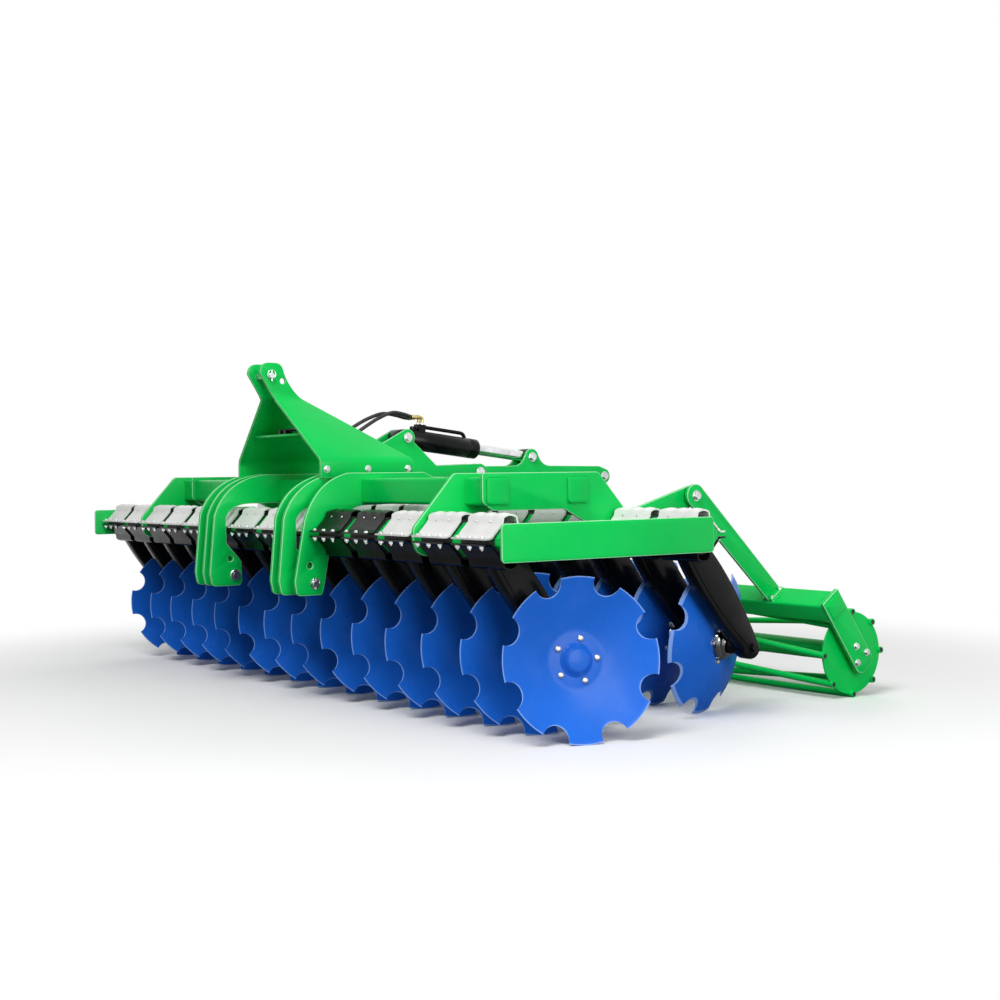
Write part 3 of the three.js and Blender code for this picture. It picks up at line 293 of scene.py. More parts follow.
class Nodes:
    """A material's node tree, with short ways to add the nodes that every finish here uses."""

    def __init__(self, name):
        self.material = bpy.data.materials.new(name)
        self.material.use_nodes = True
        self.tree = self.material.node_tree
        self.shader = self.tree.nodes["Principled BSDF"]
        self.place = self.add("ShaderNodeTexCoord").outputs["Object"]

    def add(self, kind):
        return self.tree.nodes.new(kind)

    def link(self, output, socket):
        self.tree.links.new(output, socket)

    def set(self, **values):
        for name, value in values.items():
            self.shader.inputs[name.replace("_", " ")].default_value = value

    def noise(self, scale, detail=4, stretch=(1, 1, 1)):
        mapping = self.add("ShaderNodeMapping")
        mapping.inputs["Scale"].default_value = stretch
        self.link(self.place, mapping.inputs["Vector"])
        texture = self.add("ShaderNodeTexNoise")
        texture.inputs["Scale"].default_value = scale
        texture.inputs["Detail"].default_value = detail
        self.link(mapping.outputs[0], texture.inputs["Vector"])
        return texture.outputs["Fac"]

    def ramp(self, factor, stops):
        ramp = self.add("ShaderNodeValToRGB")
        elements = ramp.color_ramp.elements
        while len(elements) < len(stops):
            elements.new(0.5)
        for element, (position, color) in zip(elements, stops):
            element.position = position
            element.color = (*color, 1) if len(color) == 3 else color
        self.link(factor, ramp.inputs["Fac"])
        return ramp.outputs["Color"]

    def span(self, factor, low, high, start=0.0, end=1.0):
        remap = self.add("ShaderNodeMapRange")
        remap.inputs["From Min"].default_value = start
        remap.inputs["From Max"].default_value = end
        remap.inputs["To Min"].default_value = low
        remap.inputs["To Max"].default_value = high
        self.link(factor, remap.inputs["Value"])
        return remap.outputs["Result"]

    def mix(self, factor, first, second):
        mix = self.add("ShaderNodeMix")
        mix.data_type = "RGBA"
        self.join(factor, mix.inputs[0])
        self.join(first, mix.inputs[6])
        self.join(second, mix.inputs[7])
        return mix.outputs[2]

    def join(self, value, socket):
        if isinstance(value, bpy.types.NodeSocket):
            self.link(value, socket)
        elif isinstance(value, tuple):
            socket.default_value = (*value, 1)
        else:
            socket.default_value = value

    def bump(self, height, strength, distance=0.001, under=None):
        bump = self.add("ShaderNodeBump")
        bump.inputs["Strength"].default_value = strength
        bump.inputs["Distance"].default_value = distance
        self.link(height, bump.inputs["Height"])
        if under is not None:
            self.link(under, bump.inputs["Normal"])
        return bump.outputs["Normal"]


def shade(color, factor):
    return tuple(value * factor for value in color)


def paint(name, color, dust=(0.35, 0.33, 0.29), dusty=0.02, roughness=(0.24, 0.36), coat=0.05, shine=0.14):
    """Gloss enamel over steel: slow colour drift, thin dust, runs, fine scratches and orange peel."""
    n = Nodes(name)
    drift = n.ramp(n.noise(2.2, 5), [(0.35, shade(color, 0.90)), (0.68, shade(color, 1.08))])
    film = n.span(n.noise(9, 8), 0.0, dusty, 0.48, 0.78)
    dusted = n.mix(film, drift, dust)
    scratch = n.span(n.noise(60, 3, (1, 14, 1)), 0.0, 0.16, 0.66, 0.74)
    scratched = n.mix(scratch, dusted, shade(color, 1.35))
    n.link(scratched, n.shader.inputs["Base Color"])
    n.link(n.span(n.noise(14, 6), *roughness, 0.3, 0.7), n.shader.inputs["Roughness"])
    peel = n.bump(n.noise(240, 2), 0.05, 0.0006)
    n.link(n.bump(n.noise(5, 3), 0.10, 0.004, peel), n.shader.inputs["Normal"])
    n.set(Coat_Weight=coat, Coat_Roughness=0.14, Specular_IOR_Level=shine)
    return n.material


def bare_metal(name, color, roughness=(0.2, 0.4), grain=(1, 1, 30)):
    """Plated or turned steel: fine drawn grain, cloudy tarnish and a broken shine."""
    n = Nodes(name)
    cloud = n.ramp(n.noise(26, 6), [(0.3, shade(color, 0.72)), (0.7, color)])
    n.link(cloud, n.shader.inputs["Base Color"])
    n.link(n.span(n.noise(70, 4, grain), *roughness, 0.3, 0.7), n.shader.inputs["Roughness"])
    n.link(n.bump(n.noise(180, 3, grain), 0.12, 0.0004), n.shader.inputs["Normal"])
    n.set(Metallic=1.0)
    return n.material


def black_rubber(name, wrapped=False):
    """Matt rubber with a dusty bloom; a hose's also has the spiral print of its cloth wrapping."""
    n = Nodes(name)
    n.link(n.ramp(n.noise(30, 6), [(0.35, (0.008, 0.008, 0.009)), (0.75, (0.030, 0.030, 0.031))]),
           n.shader.inputs["Base Color"])
    n.link(n.span(n.noise(55, 4), 0.42, 0.7), n.shader.inputs["Roughness"])
    fine = n.noise(420, 2, (1, 3, 3) if wrapped else (1, 1, 1))
    n.link(n.bump(fine, 0.4, 0.0006), n.shader.inputs["Normal"])
    return n.material


GREEN = (0.001, 0.610, 0.098)
BLUE = (0.012, 0.145, 0.700)


def make_materials():
    return {
        "green": paint("green_enamel", GREEN),
        # Paler green on plates' rounded edges: a painted highlight of the gloss along those edges.
        "green_edge_highlight": paint("green_edge_highlight", (0.40, 0.86, 0.48), dusty=0.05, roughness=(0.3, 0.45)),
        "weld": paint("green_weld", shade(GREEN, 0.86), roughness=(0.35, 0.5)),
        "blue": paint("disc_enamel", BLUE, dusty=0.05, roughness=(0.24, 0.36)),
        "blue_edge": paint("disc_edge", (0.22, 0.38, 0.86), dusty=0.05, roughness=(0.3, 0.42)),
        "black": paint("black_enamel", (0.0030, 0.0032, 0.0038), dust=(0.05, 0.05, 0.05), dusty=0.20,
                       roughness=(0.20, 0.34), coat=0.08, shine=0.12),
        # Near-white on the clamp covers: a painted reflection of the bright sky on their black gloss, with
        # some dust.
        "pale_sky_reflection": paint("cover_painted_sky_reflection", (0.86, 0.86, 0.85), dust=(0.42, 0.41, 0.39), dusty=0.20,
                      roughness=(0.28, 0.42)),
        "zinc": bare_metal("zinc_plate", (0.78, 0.79, 0.80)),
        "dark_steel": bare_metal("polished_hub", (0.30, 0.31, 0.32), roughness=(0.05, 0.12),
                                 grain=(1, 1, 1)),
        "chrome": bare_metal("hard_chrome", (0.90, 0.91, 0.92), roughness=(0.04, 0.10)),
        "brass": bare_metal("brass_fitting", (0.72, 0.56, 0.26), roughness=(0.22, 0.36)),
        "rubber": black_rubber("cushion_rubber"),
        "hose": black_rubber("hose_cover", wrapped=True),
        # Near-black for the cage bars' bores: painted shade standing for the dark inside of hollow bars.
        "hole": black_rubber("shadowed_bore"),
    }


# ---------------------------------------------------------------- shapes

ALONG_X = Matrix(((0, 0, 1, 0), (1, 0, 0, 0), (0, 1, 0, 0), (0, 0, 0, 1)))


def curve_point(start, control, end, share):
    """A point of the curve that leaves start towards control and reaches end from there."""
    return start * (1 - share) ** 2 + control * 2 * share * (1 - share) + end * share ** 2


def round_corner(corner, before, after, reach, steps):
    """The points that round a corner, from the ways to its two neighbours."""
    first = corner + before.normalized() * reach
    last = corner + after.normalized() * reach
    return [curve_point(first, corner, last, step / steps) for step in range(steps + 1)]


class Outline:
    """A closed outline in side view, drawn point by point as (y, z)."""

    def __init__(self, *places):
        self.points = [Vector(place) for place in places]

    def line(self, *places):
        self.points += [Vector(place) for place in places]
        return self

    def bend(self, control, end, steps=14):
        start, control, end = self.points[-1], Vector(control), Vector(end)
        self.points += [curve_point(start, control, end, step / steps) for step in range(1, steps + 1)]
        return self

    def arc(self, centre, radius, start, end, steps=18):
        for step in range(steps + 1):
            angle = math.radians(start + (end - start) * step / steps)
            self.points.append(Vector(centre) + radius * Vector((math.cos(angle), math.sin(angle))))
        return self

    def softened(self, radius=0.008, steps=4):
        """The outline with each sharp corner rounded."""
        rounded = []
        for index, corner in enumerate(self.points):
            before = self.points[index - 1] - corner
            after = self.points[(index + 1) % len(self.points)] - corner
            room = min(before.length, after.length) * 0.45
            if room < 1e-5 or before.angle(after, math.pi) > math.radians(165):
                rounded.append(corner)
            else:
                rounded += round_corner(corner, before, after, min(radius, room), steps)
        self.points = rounded
        return self


def circle(centre, radius, steps=28):
    return [Vector(centre) + radius * Vector((math.cos(a), math.sin(a)))
            for a in (2 * math.pi * step / steps for step in range(steps))]


def points_of(loop):
    return loop.points if isinstance(loop, Outline) else [Vector(point) for point in loop]


def flat_mesh(loops, thickness, edge=EDGE, inset=0.0):
    """A plate in its own XY plane, centred on it, with rounded edges; later loops are its holes."""
    curve = bpy.data.curves.new("plate", "CURVE")
    curve.dimensions = "2D"
    curve.fill_mode = "BOTH"
    curve.extrude = thickness / 2 - edge
    curve.bevel_depth = edge
    curve.bevel_resolution = 1
    curve.offset = -edge - inset
    for loop in loops:
        points = points_of(loop)
        spline = curve.splines.new("POLY")
        spline.points.add(len(points) - 1)
        for target, point in zip(spline.points, points):
            target.co = (point.x, point.y, 0, 1)
        spline.use_cyclic_u = True
    holder = bpy.data.objects.new("plate", curve)
    mesh = bpy.data.meshes.new_from_object(holder)
    bpy.data.objects.remove(holder)
    bpy.data.curves.remove(curve)
    return mesh


def side_mesh(loops, from_x, to_x, edge=EDGE, inset=0.0):
    """A plate drawn in side view, from one X to another."""
    low, high = min(from_x, to_x), max(from_x, to_x)
    mesh = flat_mesh(loops, high - low, edge, inset)
    mesh.transform(Matrix.Translation(((low + high) / 2, 0, 0)) @ ALONG_X)
    return mesh


def mesh_of(bm):
    bmesh.ops.recalc_face_normals(bm, faces=bm.faces)
    mesh = bpy.data.meshes.new("shape")
    bm.to_mesh(mesh)
    bm.free()
    return mesh


def join_rings(bm, lower, upper):
    """The faces from one closed ring of vertices to the next; a ring may be a single vertex."""
    count = max(len(lower), len(upper))
    faces = []
    for step in range(count):
        after = (step + 1) % count
        corners = (lower[step % len(lower)], lower[after % len(lower)],
                   upper[after % len(upper)], upper[step % len(upper)])
        faces.append(bm.faces.new(list(dict.fromkeys(corners))))
    return faces


def lathe_mesh(profile, steps=32):
    """A turned shape about +Z from (radius, height) pairs; a radius of 0 closes an end."""
    bm = bmesh.new()
    rings = []
    for radius, height in profile:
        if radius == 0:
            rings.append([bm.verts.new((0, 0, height))])
        else:
            rings.append([bm.verts.new((radius * math.cos(a), radius * math.sin(a), height))
                          for a in (2 * math.pi * step / steps for step in range(steps))])
    for lower, upper in zip(rings, rings[1:]):
        join_rings(bm, lower, upper)
    return mesh_of(bm)


def drum_mesh(radius, low, high, steps, chamfer=0.0):
    """A plain turned length about +Z, with chamfered ends if asked for."""
    if not chamfer:
        return lathe_mesh([(0, low), (radius, low), (radius, high), (0, high)], steps)
    return lathe_mesh([(0, low), (radius - chamfer, low), (radius, low + chamfer),
                       (radius, high - chamfer), (radius - chamfer, high), (0, high)], steps)


def sweep_mesh(path, radius, sides=16):
    """A round bar along a list of points."""
    bm = bmesh.new()
    points = [Vector(point) for point in path]
    rings = []
    for index, point in enumerate(points):
        before = points[max(index - 1, 0)]
        after = points[min(index + 1, len(points) - 1)]
        way = (after - before).normalized()
        if index == 0:
            up = way.orthogonal().normalized()
        up = (up - way * up.dot(way)).normalized()
        across = way.cross(up)
        rings.append([bm.verts.new(point + radius * (up * math.cos(a) + across * math.sin(a)))
                      for a in (2 * math.pi * side / sides for side in range(sides))])
    for lower, upper in zip(rings, rings[1:]):
        join_rings(bm, lower, upper)
    bm.faces.new(rings[0])
    bm.faces.new(rings[-1])
    return mesh_of(bm)


def block_mesh(low, high, edge=EDGE):
    bm = bmesh.new()
    bmesh.ops.create_cube(bm, size=1)
    low, high = Vector(low), Vector(high)
    bmesh.ops.scale(bm, vec=high - low, verts=bm.verts)
    bmesh.ops.translate(bm, vec=(low + high) / 2, verts=bm.verts)
    bmesh.ops.bevel(bm, geom=bm.edges[:], offset=edge, segments=2, affect="EDGES", profile=0.5)
    return mesh_of(bm)


def aim(place, way, spin=0.0):
    """The matrix that stands a shape's +Z along way at a place."""
    turn = Vector(way).to_track_quat("Z", "Y").to_matrix().to_4x4()
    return Matrix.Translation(place) @ turn @ Matrix.Rotation(spin, 4, "Z")


def sideways(x, place, side=1, spin=0.0):
    """The matrix that stands a shape's +Z across the machine, at a place in side view."""
    return aim((x, *place), (side, 0, 0), spin)


def washer_mesh(size):
    return drum_mesh(size * WASHER_RADIUS, 0, size * WASHER_HEIGHT, 24)


def hex_bolt(size):
    """A hexagon head with its washer, seated on z = 0."""
    across, base = size * 0.95, size * WASHER_HEIGHT
    head = lathe_mesh([(0, base), (across, base), (across, base + size * 0.52),
                       (across * 0.86, base + size * 0.66), (0, base + size * 0.66)], 6)
    return merged([washer_mesh(size), head])


def hex_nut(size, tip):
    """A nut with its washer, seated on z = 0, and the bolt's end standing out of it by tip."""
    across, base, top = size * 0.95, size * WASHER_HEIGHT, size * 1.05
    body = lathe_mesh([(0, base), (across * 0.9, base), (across, base + size * 0.12),
                       (across, top - size * 0.12), (across * 0.88, top), (0, top)], 6)
    end = lathe_mesh([(0, top - 0.001), (size * 0.5, top - 0.001), (size * 0.5, top + tip - 0.002),
                      (size * 0.38, top + tip), (0, top + tip)], 16)
    return merged([washer_mesh(size), body, end])


def dome_bolt(radius, height):
    profile = [(0, 0), (radius * 0.9, 0), (radius, height * 0.2)]
    for step in range(1, 6):
        angle = math.pi / 2 * step / 6
        profile.append((radius * math.cos(angle), height * (0.2 + 0.8 * math.sin(angle))))
    return lathe_mesh([*profile, (0, height)], 20)


def merged(parts):
    """Several plain meshes or (mesh, matrix) pairs as one mesh."""
    bm = bmesh.new()
    for part in parts:
        mesh, matrix = part if isinstance(part, tuple) else (part, Matrix())
        copy = mesh.copy()
        copy.transform(matrix)
        bm.from_mesh(copy)
        bpy.data.meshes.remove(copy)
    mesh = bpy.data.meshes.new("merged")
    bm.to_mesh(mesh)
    bm.free()
    return mesh


# ---------------------------------------------------------------- pieces


def finish_mesh(mesh, smooth_angle=38):
    bm = bmesh.new()
    bm.from_mesh(mesh)
    bmesh.ops.remove_doubles(bm, verts=bm.verts, dist=2e-6)
    bmesh.ops.dissolve_degenerate(bm, edges=bm.edges, dist=1e-6)
    bmesh.ops.recalc_face_normals(bm, faces=bm.faces)
    bm.to_mesh(mesh)
    bm.free()
    mesh.polygons.foreach_set("use_smooth", [True] * len(mesh.polygons))
    mesh.set_sharp_from_angle(angle=math.radians(smooth_angle))


def enlist(obj, body, replaces=()):
    """Links an object into the scene, hides the nodes that it replaces and hangs it on the body that it
    rides on.
    """
    bpy.context.collection.objects.link(obj)
    if replaces:
        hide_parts(*replaces)
    if body:
        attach(obj, body)
    return obj


def piece(name, body, parts, finish, replaces=(), smooth_angle=38):
    """One object from plain meshes or (mesh, matrix) pairs, in one finish, riding on a body."""
    mesh = merged(parts)
    mesh.name = name
    finish_mesh(mesh, smooth_angle)
    mesh.transform(Matrix.Translation(SHIFT))
    mesh.materials.append(MATERIALS[finish])
    return enlist(bpy.data.objects.new(name, mesh), body, replaces)


def bolt_piece(name, body, parts, finish="zinc"):
    return piece(name, body, parts, finish, smooth_angle=FLAT_SIDED)


def weld_piece(name, beads):
    return piece(name, "frame", beads, "weld", smooth_angle=ROUND_SIDED)


def plate_piece(name, body, meshes, replaces=()):
    """A green flame-cut plate whose narrow rounded edge faces get a paler green: a painted highlight,
    standing for the gloss that shines along rounded edges.
    """
    obj = piece(name, body, meshes, "green", replaces)
    mesh = obj.data
    mesh.materials.append(MATERIALS["green_edge_highlight"])
    for polygon in mesh.polygons:
        sideways = abs(polygon.normal.x)
        ends = [[mesh.vertices[index].co for index in key] for key in polygon.edge_keys]
        longest = max((first - last).length for first, last in ends)
        # Narrow slanting faces are the rounded edges, which get the painted highlight.
        if 0.2 < sideways < 0.95 and polygon.area < HIGHLIGHT_EDGE_WIDTH * longest:
            polygon.material_index = 1
    return obj


MATERIALS = make_materials()
add_camera()
add_world()
add_floor()
add_lamp("key", (3.5, -5.0, 8.0), (0.4, -0.2, 0.4), 4.0, 500)
add_lamp("fill", (8.0, -1.5, 2.6), (0.4, 0.4, 0.5), 4.0, 290)
add_lamp("back", (-5.0, 5.0, 6.0), (0.0, 0.0, 0.5), 5.0, 160, mirrored=False)

# ---------------------------------------------------------------- discs


def rim_points():
    """The notched rim, lobe by lobe, as (angle, radius) from the middle of the first lobe."""
    pitch = 2 * math.pi / DISC_NOTCHES
    half_notch = 2 * math.asin(NOTCH_RADIUS / (2 * DISC_RADIUS))
    points = []
    for lobe in range(DISC_NOTCHES):
        start = lobe * pitch - pitch / 2 + half_notch
        end = lobe * pitch + pitch / 2 - half_notch
        for step in range(9):
            points.append((start + (end - start) * step / 8, DISC_RADIUS))
        notch_middle = lobe * pitch + pitch / 2
        centre = Vector((math.cos(notch_middle), math.sin(notch_middle))) * DISC_RADIUS
        corner = Vector((math.cos(end), math.sin(end))) * DISC_RADIUS - centre
        sweep = -2 * corner.angle(-centre)
        for step in range(1, 12):
            turn = Matrix.Rotation(sweep * step / 12, 2)
            spot = centre + turn @ corner
            points.append((math.atan2(spot.y, spot.x), spot.length))
    return points


def dish_at(radius):
    share = max(0.0, (radius - DISC_FLAT_RADIUS) / (DISC_RADIUS - DISC_FLAT_RADIUS))
    return -DISC_DISH * (0.68 * share + 0.32 * share * share)


def disc_mesh():
    """The notched dish, its flat centre at the origin and its hub side along +Z."""
    rim = rim_points()
    count = len(rim)
    bm = bmesh.new()

    def ring(depth, offset, inward=0.0):
        """A ring from the flat's edge (depth 0) to the rim (depth 1), on one face of the sheet."""
        verts = []
        for index, (angle, radius) in enumerate(rim):
            even = 2 * math.pi * index / count + rim[0][0]
            at_rim = Vector((math.cos(angle), math.sin(angle))) * (radius - inward)
            at_flat = Vector((math.cos(even), math.sin(even))) * DISC_FLAT_RADIUS
            spot = at_flat.lerp(at_rim, depth)
            verts.append(bm.verts.new((spot.x, spot.y, dish_at(spot.length) + offset)))
        return verts

    def inner_ring(radius, offset):
        return [bm.verts.new((radius * math.cos(a), radius * math.sin(a), offset))
                for a in (2 * math.pi * index / count + rim[0][0] for index in range(count))]

    half = DISC_THICKNESS / 2
    depths = (0.06, 0.2, 0.4, 0.6, 0.8, 0.93)
    layers = [inner_ring(0.045, -half - 0.0010), inner_ring(DISC_FLAT_RADIUS - 0.012, -half - 0.0010),
              inner_ring(DISC_FLAT_RADIUS - 0.004, -half)]
    layers += [ring(depth, -half) for depth in depths]
    layers += [ring(1, -half, 0.0035), ring(1, -half + 0.0012), ring(1, half - 0.0022), ring(1, half, 0.014)]
    layers += [ring(depth, half) for depth in reversed(depths)]
    layers += [inner_ring(DISC_FLAT_RADIUS - 0.004, half), inner_ring(0.045, half)]
    edge_band = range(len(depths) + 3, len(depths) + 6)
    for level, (first, second) in enumerate(zip(layers, layers[1:])):
        for face in join_rings(bm, first, second):
            face.material_index = 1 if level in edge_band else 0
    join_rings(bm, layers[-1], layers[0])
    return mesh_of(bm)


def cap_mesh():
    """The bearing's domed cap on the hollow side."""
    face = -DISC_THICKNESS / 2
    return lathe_mesh([(0.0, face + 0.004), (0.060, face + 0.0005), (0.058, face - 0.0025),
                       (0.0515, face - 0.005), (0.0490, face - 0.009), (0.0385, face - 0.021),
                       (0.0340, face - 0.0228), (0.0, face - 0.0230)], 40)


def hub_mesh():
    """The bearing housing on the arm's side: a flange that domes up to the hub's end."""
    face = DISC_THICKNESS / 2
    flange = [(0.0, face), (0.064, face), (0.066, face + 0.002), (0.065, face + 0.006)]
    for step in range(1, 8):
        angle = math.radians(11 * step)
        flange.append((0.045 + 0.020 * math.cos(angle), face + 0.006 + 0.020 * math.sin(angle)))
    flange += [(0.048, HUB_LENGTH - 0.004), (0.045, HUB_LENGTH), (0.0, HUB_LENGTH)]
    return lathe_mesh(flange, 40)


def boss_mesh():
    """What the hub turns on, from the hub's end to the arm."""
    return lathe_mesh([(0.0, HUB_LENGTH + 0.0005), (0.036, HUB_LENGTH + 0.0005), (0.036, HUB_LENGTH + 0.010),
                       (0.033, HUB_LENGTH + 0.014), (0.033, 0.078), (0.0, 0.078)], 32)


def share_mesh(name, mesh, matrix, body, replaces=()):
    obj = bpy.data.objects.new(name, mesh)
    obj.matrix_world = matrix
    return enlist(obj, body, replaces)


def shared(mesh, *finishes, smooth_angle=38):
    finish_mesh(mesh, smooth_angle)
    for finish in finishes:
        mesh.materials.append(MATERIALS[finish])
    return mesh


def disc_place(joint):
    """A disc's own matrix at rest, worked out from the joint that it turns on."""
    axis = Vector(joint["axis"]).normalized()
    across = Vector((0, 0, 1)).cross(axis).normalized()
    turn = Matrix((across, axis.cross(across), axis)).transposed().to_4x4()
    return Matrix.Translation(joint["pos_m"]) @ turn


def bolt_circle(shape, height, way, radius=0.075, count=5):
    parts = []
    for index in range(count):
        angle = 2 * math.pi * index / count
        parts.append((shape, aim((radius * math.cos(angle), radius * math.sin(angle), height), way)))
    return merged(parts)


def add_discs():
    half = DISC_THICKNESS / 2
    dish = shared(disc_mesh(), "blue", "blue_edge", smooth_angle=30)
    cap = shared(cap_mesh(), "blue", smooth_angle=50)
    hub = shared(hub_mesh(), "dark_steel", smooth_angle=40)
    heads = shared(bolt_circle(dome_bolt(0.0125, 0.010), -half, (0, 0, -1)), "zinc")
    nuts = shared(bolt_circle(hex_nut(0.0095, 0.004), half, (0, 0, 1)), "zinc")
    boss = shared(boss_mesh(), "black")
    for row in ROWS:
        for index in range(1, DISCS_PER_ROW + 1):
            node = f"{row}_disc_{index:02d}"
            place = disc_place(JOINTS[node + "_spin"])
            turn = Matrix.Rotation(math.radians(32.5 * index), 4, "Z")
            body = node + "_body"
            share_mesh(node + "_dish", dish, place, body, [node])
            share_mesh(node + "_cap", cap, place, body)
            share_mesh(node + "_hub", hub, place, body)
            share_mesh(node + "_bolts", heads, place @ turn, body)
            share_mesh(node + "_nuts", nuts, place @ turn, body)
            share_mesh(node + "_boss", boss, place, "frame")


# ---------------------------------------------------------------- gangs


def diamond(y, z, reach, corner):
    """A square bar that stands on its edge, with its corners cut off."""
    inset = reach - corner
    return Outline(*[(y + inset * cos - up * sin, z + inset * sin + up * cos)
                     for cos, sin in ((1, 0), (0, 1), (-1, 0), (0, -1)) for up in (-corner, corner)])


def cover_profile(sign):
    """One half of a clamp in side view, flange to flange, as (y, z, nearness to the ridge)."""
    level = FLANGE_HEIGHT / 2
    half_lines = [(FLANGE_REACH, level), (CLAMP_REACH * 0.90, level), (CLAMP_REACH * 0.78, level + 0.004),
                  (CLAMP_REACH * 0.70, level + 0.014), (CLAMP_REACH * 0.48, 0.049),
                  (CLAMP_REACH * 0.34, 0.065)]
    ridge = []
    for step in range(5):
        angle = math.radians(46 + 11 * step)
        ridge.append((0.042 * math.cos(angle), CLAMP_REACH - 0.042 + 0.042 * math.sin(angle)))
    side = half_lines + ridge
    whole = side + [(-y, z) for y, z in reversed(side[:-1])]
    return [(y, sign * z, max(0.0, (z - 0.062) / 0.033)) for y, z in whole]


def cover_mesh(sign, ripple=0.0028):
    """A pressed half clamp, thick as its sheet, its ridge rippled where ribs are pressed into it."""
    profile = cover_profile(sign)
    columns = 25
    bm = bmesh.new()
    verts = {}
    for layer, inward in ((0, 0.0), (1, CLAMP_SHEET)):
        for column in range(columns):
            x = -CLAMP_HALF + 2 * CLAMP_HALF * column / (columns - 1)
            wave = ripple * (math.cos(6 * math.pi * x / (2 * CLAMP_HALF)) - 1) / 2
            for index, (y, z, ridge) in enumerate(profile):
                before = profile[max(index - 1, 0)]
                after = profile[min(index + 1, len(profile) - 1)]
                way = Vector((after[0] - before[0], after[1] - before[1])).normalized()
                inner = Vector((way.y, -way.x)) * sign * -inward
                spot = Vector((x, y + inner.x, z + inner.y + sign * wave * ridge * 2.2))
                verts[layer, column, index] = bm.verts.new(spot)

    def quad(*keys):
        bm.faces.new([verts[key] for key in keys])

    last = len(profile) - 1
    for column in range(columns - 1):
        for index in range(last):
            for layer in (0, 1):
                quad((layer, column, index), (layer, column + 1, index),
                     (layer, column + 1, index + 1), (layer, column, index + 1))
        for index in (0, last):
            quad((0, column, index), (1, column, index), (1, column + 1, index), (0, column + 1, index))
    for column in (0, columns - 1):
        for index in range(last):
            quad((0, column, index), (1, column, index), (1, column, index + 1), (0, column, index + 1))
    return mesh_of(bm)


def arm_outline(beam_y, hub_y, hub_z):
    shoulder = BEAM_HEIGHT - CLAMP_REACH * 0.3
    outline = Outline((beam_y + CLAMP_REACH * 0.8, shoulder))
    outline.line((beam_y - CLAMP_REACH * 0.5, shoulder))
    outline.bend((beam_y + 0.045, BEAM_HEIGHT - 0.225), (hub_y - ARM_END_RADIUS, hub_z), 20)
    outline.arc((hub_y, hub_z), ARM_END_RADIUS, 180, 360)
    outline.bend((beam_y + 0.215, BEAM_HEIGHT - 0.165), (beam_y + CLAMP_REACH * 0.8, shoulder), 20)
    return outline


def hub_at_arm(joint, arm_x):
    """Where a disc's axis crosses the middle of its arm."""
    centre = Vector(joint["pos_m"]) - SHIFT
    axis = Vector(joint["axis"])
    return centre + axis * ((arm_x - centre.x) / axis.x)


def add_gang(row):
    beam_y = BEAM_Y[row]
    beam = side_mesh([diamond(beam_y, BEAM_HEIGHT, BEAM_REACH, BEAM_CORNER)],
                     -BEAM_HALF_LENGTH, BEAM_HALF_LENGTH, 0.001)
    piece(f"{row}_gang_beam", "frame", [beam], "green", [f"{row}_gang"])
    upper, lower = cover_mesh(1, 0.0018), cover_mesh(-1, 0.0)
    cushion = side_mesh([diamond(0, 0, CLAMP_REACH - 0.006, 0.020).softened(0.02)],
                        -CLAMP_HALF + 0.008, CLAMP_HALF - 0.008, 0.004)
    bolt, nut, axle_end = hex_bolt(0.0085), hex_nut(0.0095, 0.006), hex_bolt(0.017)
    rivet = dome_bolt(0.0045, 0.0025)
    covers, halves, cushions, arms, ribs, bolts, ends, rivets = ([] for _ in range(8))
    for index in range(DISCS_PER_ROW):
        arm_x = FIRST_ARM_X[row] - index * DISC_SPACING
        seat = Matrix.Translation((arm_x, beam_y, BEAM_HEIGHT))
        # All but the DARK_COVERS get the near-white painted sky reflection; those keep the black of the
        # halves.
        dark = row == "front" and index in DARK_COVERS
        (halves if dark else covers).append((upper, seat))
        halves.append((lower, seat))
        cushions.append((cushion, seat))
        hub = hub_at_arm(JOINTS[f"{row}_disc_{index + 1:02d}_spin"], arm_x)
        outline = arm_outline(beam_y, hub.y, hub.z)
        left, right = arm_x - ARM_HALF_WIDTH, arm_x + ARM_HALF_WIDTH
        arms.append(side_mesh([outline], left + 0.004, right - 0.004, 0.010))
        ribs.append(side_mesh([outline], left, right, 0.004, 0.016))
        for side in (-1, 1):
            ends.append((axle_end, sideways(arm_x + side * ARM_HALF_WIDTH, (hub.y, hub.z), side)))
            for across in (-0.045, 0.035):
                spot = (arm_x + across, beam_y + side * 0.0345, BEAM_HEIGHT + 0.0655)
                rivets.append((rivet, aim(spot, (0, side, 0.9))))
            for across in (-0.072, 0, 0.072):
                for up, shape, spin in ((1, bolt, across), (-1, nut, across * 3)):
                    spot = (arm_x + across, beam_y + side * 0.093, BEAM_HEIGHT + up * FLANGE_HEIGHT / 2)
                    bolts.append((shape, aim(spot, (0, 0, up), spin)))
    for name, parts, finish, smooth_angle in (
            ("clamp_covers", covers, "pale_sky_reflection", 45), ("clamp_halves", halves, "black", 45),
            ("cushions", cushions, "rubber", 38), ("arms", arms, "black", 38),
            ("arm_ribs", ribs, "black", 38),
            ("cover_rivets", rivets, "zinc", 40), ("clamp_bolts", bolts, "zinc", FLAT_SIDED),
            ("arm_bolts", ends, "black", FLAT_SIDED)):
        piece(f"{row}_{name}", "frame", parts, finish, smooth_angle=smooth_angle)


# ---------------------------------------------------------------- main frame


